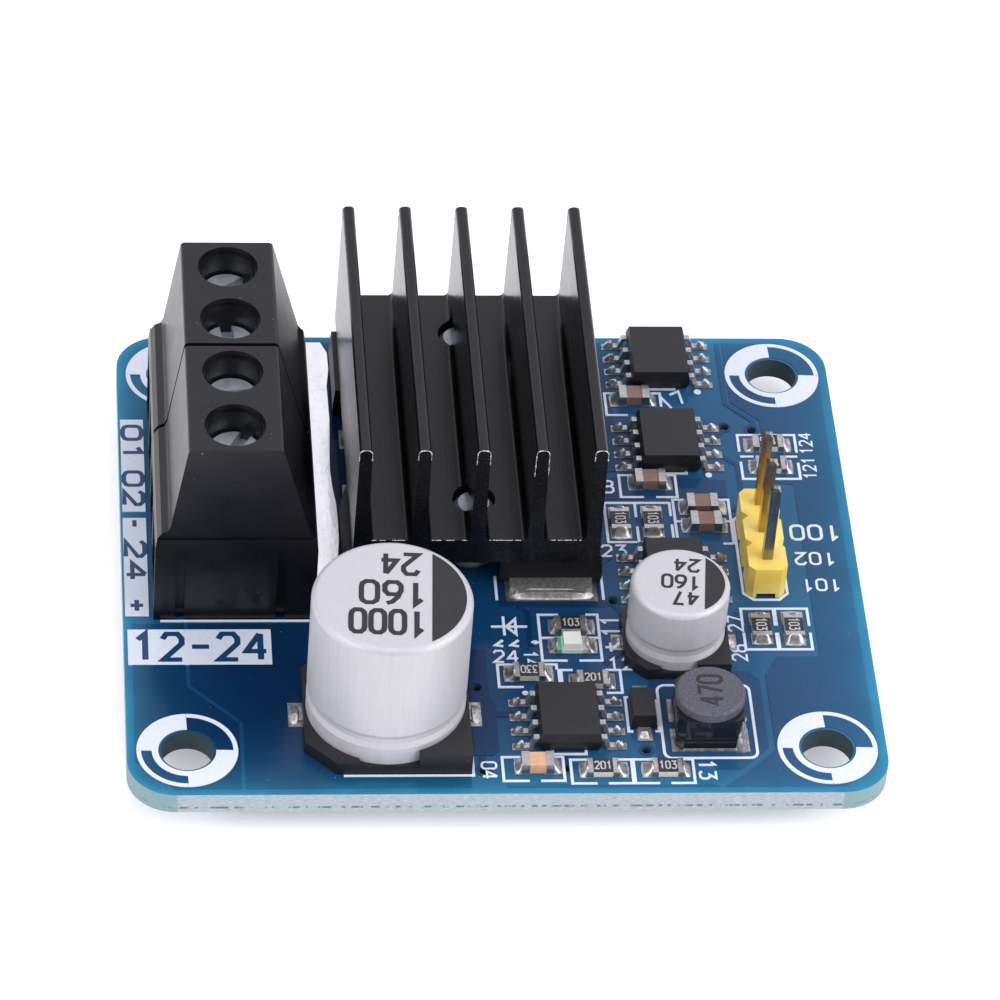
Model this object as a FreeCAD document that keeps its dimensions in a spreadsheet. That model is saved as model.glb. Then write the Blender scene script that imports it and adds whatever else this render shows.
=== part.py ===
import FreeCAD, Part
import Sketcher
import os

# A dc motor driver module: a blue circuit board with two screw terminal blocks, a finned
# heatsink over four power transistors, two electrolytic capacitors, a power inductor,
# four small chips, a three way pin header and the chip parts around them.
# Frame: millimetres, Z up, origin at the middle of the board's underside, screw terminals
# on the left (X minus), the large capacitor at the front (Y minus).

# Driving sizes, each written once: name, value, what it is
SIZES = [
    ("board_length", 47.5, "board along X"),
    ("board_depth", 42.4, "board along Y"),
    ("board_thickness", 1.5, "glass epoxy laminate"),
    ("board_corner", 3.0, "corner radius"),
    ("mount_hole", 3.3, "clearance hole for an M3 screw"),
    ("mount_inset_x", 3.75, "mounting hole to the board's short edge"),
    ("mount_inset_y", 3.8, "mounting hole to the board's long edge"),
    ("via_hole", 0.6, "open plated via"),
    ("pin_clearance", 0.15, "round a pin's corners in its board hole"),
    ("sink_x", -1.35, "heatsink centre"),
    ("sink_y", 8.4, "heatsink centre"),
    ("sink_width", 15.8, "extrusion across the fins"),
    ("sink_length", 23.6, "extrusion as cut off"),
    ("sink_base", 1.95, "extrusion floor"),
    ("fin_height", 7.7, "above the floor"),
    ("fin_tip", 0.78, "fin thickness at its tip"),
    ("fin_root", 0.98, "fin thickness at the floor"),
    ("fin_tip_radius", 0.3, "rounded tip"),
    ("fin_root_radius", 0.35, "fillet to the floor"),
    ("fin_count", 5, "fins"),
    ("sink_screw_inset", 3.85, "fixing screw to the extrusion's cut end"),
    ("sink_screw", 2.65, "screw shank in the sink"),
    ("thread_gap", 0.05, "round each screw shank"),
    ("sink_screw_hole", 3.2, "clearance hole in the board"),
    ("sink_hole_rise", 1.4, "the drilled hole bites this far into the middle fin's root"),
    ("sink_screw_short", 0.3, "screw tip below the floor's top"),
    ("sink_head", 5.2, "pan head across"),
    ("sink_head_height", 1.9, "pan head height"),
    ("cross_width", 0.8, "cross recess arm"),
    ("cross_length", 2.8, "cross recess across"),
    ("cross_depth", 1.0, "cross recess depth"),
    ("thermal_pad", 0.4, "silicone sheet between transistors and sink"),
    ("thermal_pad_inset", 0.9, "sheet edge inside the sink's long sides"),
    ("mosfet_width", 6.6, "moulded body"),
    ("mosfet_length", 6.1, "moulded body"),
    ("mosfet_height", 2.3, "moulded body"),
    ("mosfet_top_inset", 0.12, "its top and foot inside its middle, by the mould's draft"),
    ("mosfet_spacing", 10.0, "transistor columns, centre to centre"),
    ("mosfet_inset", 0.87, "body end inside the sink's end"),
    ("tab_width", 5.3, "drain tab"),
    ("tab_out", 1.2, "drain tab beyond the body"),
    ("tab_under", 5.0, "drain tab under the body"),
    ("tab_thickness", 0.5, "lead frame"),
    ("tab_ear", 0.5, "tab corner chamfer"),
    ("power_lead_width", 0.8, "source and gate lead"),
    ("power_lead_spacing", 4.58, "the two outer leads"),
    ("power_lead_out", 2.6, "leads beyond the body"),
    ("power_lead_foot", 1.1, "flat soldered foot"),
    ("power_lead_rise", 0.55, "underside of the lead where it leaves the body"),
    ("power_lead_stub", 0.6, "cut off centre lead"),
    ("bus_width", 1.68, "solder covered power track"),
    ("bus_gap", 0.12, "between that track and the terminal housing"),
    ("bus_height", 0.35, "solder bead on the track"),
    ("bus_back", 20.3, "rear end of the track, in Y"),
    ("bus_front", -6.4, "front end of the track, in Y"),
    ("terminal_x", -17.0, "screw line of the terminals"),
    ("terminal_y", 4.2, "joint between the two blocks"),
    ("terminal_spacing", 5.0, "wire ways"),
    ("terminal_joint", 0.04, "gap between the blocks"),
    ("terminal_height", 14.45, "above the board"),
    ("terminal_top", 5.86, "flat top across"),
    ("terminal_left", 4.84, "from the screw line to the wire face"),
    ("terminal_edge", 0.3, "rounding of the crown's edges"),
    ("terminal_right", 5.4, "from the screw line to the rear face"),
    ("shoulder_height", 6.3, "end of the upright wire face"),
    ("shoulder_round", 1.1, "rounded shoulder over the wire ways"),
    ("shoulder_width", 0.92, "shoulder across, to the foot of the slope"),
    ("slope_foot", 8.0, "height of the slope's foot on the wire side"),
    ("rear_height", 6.0, "end of the upright rear face"),
    ("rear_slope_foot", 7.4, "height of the rear slope's foot"),
    ("rear_slope_in", 0.55, "the rear slope's foot, in from the face"),
    ("end_ledge", 0.12, "upper end wall set back from the lower one"),
    ("end_ledge_height", 6.96, "where that step lies"),
    ("well", 3.85, "screw well"),
    ("well_lip", 0.16, "step inside the well's mouth"),
    ("well_lip_depth", 0.5, "depth of the mouth"),
    ("wire_way", 3.8, "wire entry across"),
    ("wire_way_height", 4.6, "wire entry height"),
    ("wire_sill", 1.1, "wire entry's sill above the board"),
    ("chamber_depth", 7.4, "chamber from the wire face"),
    ("chamber_height", 8.6, "chamber roof above the board"),
    ("chamber_wall", 0.58, "chamber's outer wall, behind the wire entry"),
    ("dovetail_width", 0.75, "slide joint on the end walls"),
    ("dovetail_depth", 0.32, "slide joint's groove"),
    ("dovetail_span", 6.4, "between the two grooves"),
    ("dovetail_top", 5.9, "top of the grooves"),
    ("clamp_gap", 0.1, "clamp cage in its chamber"),
    ("clamp_wall", 0.55, "cage floor and roof"),
    ("clamp_cheek", 0.3, "cage sides"),
    ("clamp_depth", 3.9, "cage along the wire"),
    ("clamp_height", 5.4, "cage height"),
    ("clamp_pin", 0.9, "solder pin, square"),
    ("clamp_pin_below", 1.9, "solder pin below the board"),
    ("clamp_screw", 2.9, "terminal screw's shank"),
    ("clamp_head", 3.5, "terminal screw's head"),
    ("clamp_head_height", 1.5, "terminal screw's head"),
    ("clamp_head_depth", 2.0, "head below the housing's top"),
    ("clamp_screw_end", 4.6, "screw's end above the board"),
    ("slot_width", 0.8, "screwdriver slot"),
    ("slot_depth", 0.7, "screwdriver slot"),
    ("header_x", 17.45, "pin header centre"),
    ("header_y", -0.11, "pin header centre"),
    ("header_spacing", 2.54, "pins"),
    ("header_count", 3, "pins"),
    ("header_width", 2.5, "moulded strip"),
    ("header_height", 2.5, "moulded strip"),
    ("header_notch", 0.4, "chamfer between the ways"),
    ("header_foot_slot", 1.25, "open slot under the strip, across"),
    ("header_foot_height", 0.4, "open slot under the strip"),
    ("header_pin", 0.64, "square pin"),
    ("header_pin_top", 8.55, "pin tips above the board"),
    ("header_pin_below", 1.5, "pin ends below the board"),
    ("header_pin_point", 0.18, "pyramid point"),
    ("big_can", 10.0, "large capacitor, across"),
    ("big_height", 10.4, "large capacitor, above the board"),
    ("big_base", 10.3, "its square base"),
    ("big_base_chamfer", 1.9, "two corners of the base"),
    ("big_plate", 0.75, "base plate"),
    ("big_post", 1.68, "square corner posts"),
    ("big_low_post", 1.0, "chamfered corner posts"),
    ("big_lead", 1.1, "flat lead across"),
    ("big_lead_out", 0.55, "lead beyond the base"),
    ("big_shoulder", 0.45, "rounding of the can's top"),
    ("big_groove_height", 2.6, "beaded groove above the board"),
    ("small_can", 6.3, "small capacitor, across"),
    ("small_height", 5.4, "small capacitor, above the board"),
    ("small_base", 6.6, "its square base"),
    ("small_base_chamfer", 1.3, "two corners of the base"),
    ("small_plate", 0.65, "base plate"),
    ("small_post", 1.35, "square corner posts"),
    ("small_low_post", 0.9, "chamfered corner posts"),
    ("small_lead", 0.75, "flat lead across"),
    ("small_lead_out", 0.4, "lead beyond the base"),
    ("small_shoulder", 0.35, "rounding of the can's top"),
    ("small_groove_height", 1.9, "beaded groove above the board"),
    ("groove_depth", 0.16, "beaded groove in both cans"),
    ("groove_width", 0.7, "beaded groove in both cans"),
    ("can_gap", 0.06, "between a can and its base's posts"),
    ("can_lead_thickness", 0.2, "flat leads of both cans"),
    ("can_lead_in", 2.4, "flat leads under the base"),
    ("coil_width", 4.3, "inductor's square foot"),
    ("coil_chamfer", 0.5, "its corners"),
    ("coil_foot", 0.85, "ferrite foot"),
    ("coil_top", 2.5, "underside of the ferrite disc"),
    ("coil_height", 3.2, "top of the ferrite disc"),
    ("coil_disc", 4.4, "ferrite disc across"),
    ("coil_disc_edge", 0.15, "its broken edge"),
    ("coil_neck", 1.9, "ferrite neck under the winding"),
    ("coil_wrap_in", 0.06, "wrapped winding inside the foot's outline"),
    ("coil_gap", 0.05, "winding round the neck"),
    ("coil_tin", 0.2, "soldered terminal plates"),
    ("coil_tin_depth", 1.5, "terminal plate along Y"),
    ("chip_width", 3.9, "small outline chip, moulded body"),
    ("chip_length", 4.9, "small outline chip, moulded body"),
    ("chip_height", 1.55, "top of the body above the board"),
    ("chip_under", 0.13, "underside of the body above the board"),
    ("chip_top_inset", 0.16, "its top and foot inside its middle, by the mould's draft"),
    ("chip_span", 6.0, "over the lead tips"),
    ("chip_lead_spacing", 1.27, "leads"),
    ("chip_lead_count", 4, "leads a side"),
    ("chip_lead", 0.42, "lead width"),
    ("chip_lead_thickness", 0.2, "lead thickness"),
    ("chip_foot", 0.62, "soldered foot"),
    ("chip_lead_level", 0.75, "underside of the lead at the body"),
    ("diode_width", 1.6, "moulded body"),
    ("diode_length", 2.65, "moulded body"),
    ("diode_height", 1.1, "moulded body"),
    ("diode_top_inset", 0.08, "its top inside its foot, by the mould's draft"),
    ("diode_lead", 0.8, "flat lead across"),
    ("diode_lead_out", 0.5, "lead beyond the body"),
    ("diode_lead_thickness", 0.15, "flat lead"),
    ("diode_lead_in", 0.4, "lead under the body"),
    ("led_length", 2.0, "carrier"),
    ("led_width", 1.25, "carrier"),
    ("led_carrier", 0.35, "carrier thickness"),
    ("led_lens", 1.25, "lens along the carrier"),
    ("led_height", 0.8, "lens top above the board"),
    ("led_top_inset", 0.06, "lens draft"),
    ("resistor_length", 2.0, "chip resistor"),
    ("resistor_width", 1.25, "chip resistor"),
    ("resistor_height", 0.5, "chip resistor"),
    ("resistor_end", 0.38, "plated end"),
    ("resistor_plating", 0.03, "plated end's rise over the ceramic"),
    ("ceramic_length", 2.0, "ceramic chip capacitor"),
    ("ceramic_width", 1.25, "ceramic chip capacitor"),
    ("ceramic_height", 0.8, "ceramic chip capacitor"),
    ("ceramic_end", 0.48, "plated end"),
    ("ceramic_plating", 0.04, "plated end's rise over the ceramic"),
]

# Places on the board, X then Y, and a quarter turn where the piece lies along Y
PLACES = {
    "big": (-7.6, -14.37, 0),
    "small": (11.15, -8.0, 0),
    "coil": (12.55, -15.4, 0),
    "chip_1": (3.8, -15.3, 0),
    "chip_2": (11.7, -2.2, 0),
    "chip_3": (12.35, 10.2, 0),
    "chip_4": (12.35, 18.35, 0),
    "diode": (8.6, -14.3, 0),
    "led": (4.6, -8.3, 0),
    "resistor_01": (4.63, -6.58, 0),
    "resistor_02": (1.7, -10.8, 0),
    "resistor_03": (5.7, -11.5, 0),
    "resistor_04": (5.7, -19.25, 0),
    "resistor_05": (9.75, -19.25, 0),
    "resistor_06": (16.85, -6.8, 90),
    "resistor_07": (18.95, -6.8, 90),
    "resistor_08": (8.62, 3.1, 90),
    "resistor_09": (10.75, 3.1, 90),
    "resistor_10": (19.05, 10.5, 0),
    "resistor_11": (19.05, 8.4, 0),
    "ceramic_1": (1.65, -18.92, 0),
    "ceramic_2": (10.5, 15.0, 0),
    "ceramic_3": (10.9, 6.85, 0),
    "ceramic_4": (14.1, 4.5, 0),
    "ceramic_5": (14.2, 2.82, 0),
}
VIAS = [(16.3, 12.3), (18.1, 12.0), (8.6, -17.5), (3.5, -19.05), (-1.7, -11.95), (-1.7, -19.2), (7.6, -4.2)]


# A size holds its number and the sheet expression that gives it
class Size:
    def __init__(self, number, text):
        self.number = number
        self.text = text

    def __float__(self):
        return float(self.number)

    def __add__(self, other):
        return Size(float(self) + float(other), "(%s + %s)" % (self.text, words(other)))

    def __radd__(self, other):
        return Size(float(other) + float(self), "(%s + %s)" % (words(other), self.text))

    def __sub__(self, other):
        return Size(float(self) - float(other), "(%s - %s)" % (self.text, words(other)))

    def __rsub__(self, other):
        return Size(float(other) - float(self), "(%s - %s)" % (words(other), self.text))

    def __mul__(self, other):
        return Size(float(self) * float(other), "(%s * %s)" % (self.text, words(other)))

    def __rmul__(self, other):
        return Size(float(other) * float(self), "(%s * %s)" % (words(other), self.text))

    def __truediv__(self, other):
        return Size(float(self) / float(other), "(%s / %s)" % (self.text, words(other)))

    def __neg__(self):
        return Size(-float(self), "(0 - %s)" % self.text)


def words(value):
    return value.text if isinstance(value, Size) else "(%s)" % repr(float(value))


# The sheet
doc = FreeCAD.newDocument("dc_motor_driver_module")
sheet = doc.addObject("Spreadsheet::Sheet", "sizes")
size = {}
cells = [(name, value, note) for name, value, note in SIZES]
for name, (x, y, turn) in PLACES.items():
    cells.append((name + "_x", x, "place on the board"))
    cells.append((name + "_y", y, "place on the board"))
for number, (x, y) in enumerate(VIAS):
    cells.append(("via_%d_x" % (number + 1), x, "open via"))
    cells.append(("via_%d_y" % (number + 1), y, "open via"))
for row, (name, value, note) in enumerate(cells):
    sheet.set("A%d" % (row + 1), name)
    sheet.set("B%d" % (row + 1), str(value))
    sheet.set("C%d" % (row + 1), note)
    sheet.setAlias("B%d" % (row + 1), name)
    size[name] = Size(value, "sizes." + name)
doc.recompute()


# Small tools for the features
def bind(feature, prop, value):
    feature.setExpression(prop, words(value))


def new_body(label):
    body = doc.addObject("PartDesign::Body", label)
    body.Label = label
    body.AllowCompound = True
    return body


def place(body, x, y, z, turn=0.0):
    turned = FreeCAD.Rotation(FreeCAD.Vector(0, 0, 1), turn)
    body.Placement = FreeCAD.Placement(FreeCAD.Vector(float(x), float(y), float(z)), turned)
    bind(body, "Placement.Base.x", x)
    bind(body, "Placement.Base.y", y)
    bind(body, "Placement.Base.z", z)


def sketch_on(body, role, level=0.0):
    plane = [one for one in body.Origin.OriginFeatures if one.Role == role][0]
    sketch = body.newObject("Sketcher::SketchObject", body.Label + "_sketch")
    sketch.AttachmentSupport = [(plane, "")]
    sketch.MapMode = "FlatFace"
    bind(sketch, "AttachmentOffset.Base.z", level)
    return sketch


# A closed outline through corner points, each tied to the sheet
def outline(sketch, points):
    first = sketch.GeometryCount
    count = len(points)
    corners = [FreeCAD.Vector(float(x), float(y), 0) for x, y in points]
    for k in range(count):
        sketch.addGeometry(Part.LineSegment(corners[k], corners[(k + 1) % count]), False)
    for k in range(count):
        sketch.addConstraint(Sketcher.Constraint("Coincident", first + k, 2, first + (k + 1) % count, 1))
    for k, (x, y) in enumerate(points):
        for kind, value in (("DistanceX", x), ("DistanceY", y)):
            index = sketch.addConstraint(Sketcher.Constraint(kind, -1, 1, first + k, 1, float(value)))
            bind(sketch, "Constraints[%d]" % index, value)


def rectangle(sketch, x0, y0, x1, y1):
    outline(sketch, [(x0, y0), (x1, y0), (x1, y1), (x0, y1)])


def circle(sketch, x, y, across):
    centre = FreeCAD.Vector(float(x), float(y), 0)
    item = sketch.addGeometry(Part.Circle(centre, FreeCAD.Vector(0, 0, 1), float(across) / 2), False)
    for kind, value in (("DistanceX", x), ("DistanceY", y)):
        index = sketch.addConstraint(Sketcher.Constraint(kind, -1, 1, item, 3, float(value)))
        bind(sketch, "Constraints[%d]" % index, value)
    index = sketch.addConstraint(Sketcher.Constraint("Diameter", item, float(across)))
    bind(sketch, "Constraints[%d]" % index, across)


def pad(body, sketch, length, back=False, middle=False):
    feature = body.newObject("PartDesign::Pad", body.Label + "_pad")
    feature.Profile = sketch
    bind(feature, "Length", length)
    feature.Reversed = back
    feature.SideType = "Symmetric" if middle else "One side"
    body.Tip = feature
    doc.recompute()
    return feature


# A pocket is checked: it has to take material away
def pocket(body, sketch, length, back=False, middle=False):
    before = body.Tip.Shape.Volume
    feature = body.newObject("PartDesign::Pocket", body.Label + "_pocket")
    feature.Profile = sketch
    bind(feature, "Length", length)
    feature.Reversed = back
    feature.SideType = "Symmetric" if middle else "One side"
    body.Tip = feature
    doc.recompute()
    if feature.Shape.Volume > before - 1e-6:
        raise RuntimeError("nothing was cut from " + body.Label)
    return feature


def edges_of(feature, test):
    return ["Edge%d" % (k + 1) for k, edge in enumerate(feature.Shape.Edges) if test(edge)]


def dress(body, kind, base, names, amount):
    feature = body.newObject("PartDesign::" + kind, body.Label + "_" + kind.lower())
    feature.Base = (base, names)
    bind(feature, "Radius" if kind == "Fillet" else "Size", amount)
    body.Tip = feature
    doc.recompute()
    return feature


def ends(edge):
    a = edge.Vertexes[0].Point
    b = edge.Vertexes[-1].Point
    return a, b


def along(edge, axis):
    a, b = ends(edge)
    other = [k for k in range(3) if k != axis]
    return abs(a[axis] - b[axis]) > 1e-6 and all(abs(a[k] - b[k]) < 1e-6 for k in other)


def level_ring(edge, z):
    return hasattr(edge.Curve, "Radius") and abs(edge.Curve.Center.z - z) < 1e-4


def revolve(body, points):
    sketch = sketch_on(body, "XZ_Plane")
    outline(sketch, points)
    feature = body.newObject("PartDesign::Revolution", body.Label + "_turned")
    feature.Profile = sketch
    feature.ReferenceAxis = (sketch, ["V_Axis"])
    feature.Angle = 360
    body.Tip = feature
    doc.recompute()
    return feature


# A moulded block whose half widths change with height: rows of height, half X, half Y
def moulded(body, rows):
    sketches = []
    for z, across, deep in rows:
        sketch = sketch_on(body, "XY_Plane", z)
        rectangle(sketch, -across, -deep, across, deep)
        sketches.append(sketch)
    feature = body.newObject("PartDesign::AdditiveLoft", body.Label + "_loft")
    feature.Profile = sketches[0]
    feature.Sections = sketches[1:]
    feature.Ruled = True
    body.Tip = feature
    doc.recompute()
    return feature


def copies(body, feature, direction, span, count):
    pattern = body.newObject("PartDesign::LinearPattern", body.Label + "_pattern")
    pattern.Originals = [feature]
    axis = [one for one in body.Origin.OriginFeatures if one.Role == direction][0]
    pattern.Direction = (axis, [""])
    bind(pattern, "Length", span)
    bind(pattern, "Occurrences", count)
    body.Tip = pattern
    doc.recompute()
    return pattern


def group(label, bodies):
    compound = doc.addObject("Part::Compound", label)
    compound.Label = label
    compound.Links = bodies
    return compound


board_top = size["board_thickness"]
sink_bottom = board_top + size["mosfet_height"] + size["thermal_pad"]
sink_screw_place = size["sink_length"] / 2 - size["sink_screw_inset"]
nodes = []


# The board
def make_board():
    body = new_body("board")
    half_x = size["board_length"] / 2
    half_y = size["board_depth"] / 2
    sketch = sketch_on(body, "XY_Plane")
    rectangle(sketch, -half_x, -half_y, half_x, half_y)
    slab = pad(body, sketch, board_top)
    corners = edges_of(slab, lambda edge: along(edge, 2))
    dress(body, "Fillet", slab, corners, size["board_corner"])
    holes = sketch_on(body, "XY_Plane")
    for sx in (-1, 1):
        for sy in (-1, 1):
            x = (half_x - size["mount_inset_x"]) * sx
            circle(holes, x, (half_y - size["mount_inset_y"]) * sy, size["mount_hole"])
    for sy in (-1, 1):
        y = size["sink_y"] + sink_screw_place * sy
        circle(holes, size["sink_x"], y, size["sink_screw_hole"])
    for k in (-1.5, -0.5, 0.5, 1.5):
        y = size["terminal_y"] + size["terminal_spacing"] * k
        circle(holes, size["terminal_x"], y, size["clamp_pin"] * 1.4143 + 2 * size["pin_clearance"])
    for k in range(int(size["header_count"].number)):
        y = size["header_y"] + size["header_spacing"] * (k - (size["header_count"] - 1) / 2)
        circle(holes, size["header_x"], y, size["header_pin"] * 1.4143 + 2 * size["pin_clearance"])
    for k in range(len(VIAS)):
        circle(holes, size["via_%d_x" % (k + 1)], size["via_%d_y" % (k + 1)], size["via_hole"])
    pocket(body, holes, board_top, back=True)
    nodes.append(body)


# The heatsink, the piece that takes most skill: one extrusion whose five tapered fins have
# rounded tips and filleted roots, with two holes drilled from below into the middle fin's root
def make_sink():
    body = new_body("heatsink")
    half = size["sink_width"] / 2
    floor = size["sink_base"]
    tip_level = floor + size["fin_height"]
    root = size["fin_root"] / 2
    tip = size["fin_tip"] / 2
    spacing = (size["sink_width"] - size["fin_root"]) / (size["fin_count"] - 1)
    count = int(size["fin_count"].number)
    points = [(-half, 0.0), (half, 0.0)]
    for k in reversed(range(count)):
        centre = root - half + spacing * k
        right = [(centre + root, floor)] if k < count - 1 else []
        left = [(centre - root, floor)] if k > 0 else []
        points += right + [(centre + tip, tip_level), (centre - tip, tip_level)] + left
    profile = sketch_on(body, "XZ_Plane")
    outline(profile, points)
    bar = pad(body, profile, size["sink_length"], middle=True)
    top = float(tip_level)
    tips = edges_of(bar, lambda edge: along(edge, 1) and abs(ends(edge)[0].z - top) < 1e-4)
    rounded = dress(body, "Fillet", bar, tips, size["fin_tip_radius"])
    level = float(floor)
    roots = edges_of(rounded, lambda edge: along(edge, 1) and abs(ends(edge)[0].z - level) < 1e-4)
    dress(body, "Fillet", rounded, roots, size["fin_root_radius"])
    drill = sketch_on(body, "XY_Plane")
    for sy in (-1, 1):
        circle(drill, 0.0, sink_screw_place * sy, size["sink_screw"] + 2 * size["thread_gap"])
    pocket(body, drill, floor + size["sink_hole_rise"], back=True)
    place(body, size["sink_x"], size["sink_y"], sink_bottom)
    nodes.append(body)




def make_thermal_pad():
    body = new_body("thermal_pad")
    half_x = size["sink_width"] / 2 - size["thermal_pad_inset"]
    half_y = size["sink_length"] / 2 - size["mosfet_inset"]
    sheet_sketch = sketch_on(body, "XY_Plane")
    rectangle(sheet_sketch, -half_x, -half_y, half_x, half_y)
    for sy in (-1, 1):
        circle(sheet_sketch, 0.0, sink_screw_place * sy, size["sink_screw_hole"])
    pad(body, sheet_sketch, size["thermal_pad"])
    place(body, size["sink_x"], size["sink_y"], board_top + size["mosfet_height"])
    nodes.append(body)


# Two pan head screws from below hold the sink and squeeze the transistors against it
def make_sink_screws():
    screws = []
    reach = sink_bottom + size["sink_base"] - size["sink_screw_short"]
    head = size["sink_head"] / 2
    shank = size["sink_screw"] / 2
    tall = size["sink_head_height"]
    for number, sy in enumerate((-1, 1)):
        body = new_body("sink_screw_%d" % (number + 1))
        revolve(body, [
            (0.0, -tall),
            (head * 0.72, -tall),
            (head * 0.93, -tall * 0.78),
            (head, -tall * 0.45),
            (head, 0.0),
            (shank, 0.0),
            (shank, reach - shank * 0.3),
            (shank * 0.75, reach),
            (0.0, reach),
        ])
        cross = sketch_on(body, "XY_Plane", -tall)
        arm = size["cross_width"] / 2
        far = size["cross_length"] / 2
        outline(cross, [
            (-far, -arm), (-arm, -arm), (-arm, -far), (arm, -far), (arm, -arm), (far, -arm),
            (far, arm), (arm, arm), (arm, far), (-arm, far), (-arm, arm), (-far, arm),
        ])
        pocket(body, cross, size["cross_depth"], back=True)
        place(body, size["sink_x"], size["sink_y"] + sink_screw_place * sy, 0.0)
        screws.append(body)
    nodes.append(group("sink_screws", screws))


# A power transistor: the moulded body sits over its drain tab, which reaches out at one end
def make_mosfet(number, side, end):
    width = size["mosfet_width"] / 2
    length = size["mosfet_length"]
    tall = size["mosfet_height"]
    draft = size["mosfet_top_inset"]
    thick = size["tab_thickness"]
    under = size["tab_under"]
    x = size["sink_x"] + size["mosfet_spacing"] / 2 * side
    y = size["sink_y"] + (size["sink_length"] / 2 - size["mosfet_inset"] - length / 2) * end
    turn = 180 if end > 0 else 0
    rise = size["power_lead_rise"]
    body = new_body("mosfet_%d_body" % number)
    moulded(body, [
        (0.0, width - draft, length / 2 - draft),
        (rise, width, length / 2),
        (rise + thick, width, length / 2),
        (tall, width - draft, length / 2 - draft),
    ])
    seat = sketch_on(body, "XY_Plane")
    tab_half = size["tab_width"] / 2
    rectangle(seat, -tab_half, -length / 2 - thick, tab_half, under - length / 2)
    pocket(body, seat, thick, back=True)
    place(body, x, y, board_top, turn)
    nodes.append(body)
    frame = new_body("mosfet_%d_leads" % number)
    out = size["tab_out"]
    ear = size["tab_ear"]
    tab = sketch_on(frame, "XY_Plane")
    front = -length / 2 - out
    outline(tab, [
        (-tab_half, under - length / 2),
        (-tab_half, front + ear),
        (ear - tab_half, front),
        (tab_half - ear, front),
        (tab_half, front + ear),
        (tab_half, under - length / 2),
    ])
    pad(frame, tab, thick)
    foot = size["power_lead_foot"]
    reach = size["power_lead_out"]
    edge = length / 2
    bend = sketch_on(frame, "YZ_Plane")
    outline(bend, [
        (edge, rise),
        (edge + reach - foot - thick * 1.2, rise),
        (edge + reach - foot, 0.0),
        (edge + reach, 0.0),
        (edge + reach, thick),
        (edge + reach - foot + thick * 0.3, thick),
        (edge + reach - foot - thick * 0.9, rise + thick),
        (edge, rise + thick),
    ])
    lead = pad(frame, bend, size["power_lead_width"], middle=True)
    lead_span = size["power_lead_spacing"]
    # the lead is made on the left line and copied to the right one
    bind(bend, "AttachmentOffset.Base.z", -lead_span / 2)
    copies(frame, lead, "X_Axis", lead_span, 2.0)
    stub = sketch_on(frame, "XZ_Plane", -edge)
    half = size["power_lead_width"] / 2
    rectangle(stub, -half, rise, half, rise + thick)
    pad(frame, stub, size["power_lead_stub"], back=True)
    place(frame, x, y, board_top, turn)
    nodes.append(frame)


# The solder covered power track between the terminals and the sink, with an uneven edge
def make_bus():
    body = new_body("power_bus_solder")
    left = size["terminal_x"] + size["terminal_right"] + size["bus_gap"]
    right = left + size["bus_width"]
    back = size["bus_back"]
    front = size["bus_front"]
    run = back - front
    wave = [0.0, 0.05, 0.1, -0.1, -0.08, -0.06, -0.12, -0.2, -0.24, -0.16, 0.02, 0.05, 0.04, -0.1, -0.1, -0.1, -0.2]
    points = [(left, front), (right - 0.5, front)]
    steps = len(wave) - 1
    for k in range(steps):
        share = (k + 0.5) / steps
        points.append((right + wave[steps - k], front + 0.2 + (run - 0.4) * share))
    points += [(right - 0.35, back), (left, back)]
    sketch = sketch_on(body, "XY_Plane")
    outline(sketch, points)
    pad(body, sketch, size["bus_height"])
    place(body, 0.0, 0.0, board_top)
    nodes.append(body)


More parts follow.
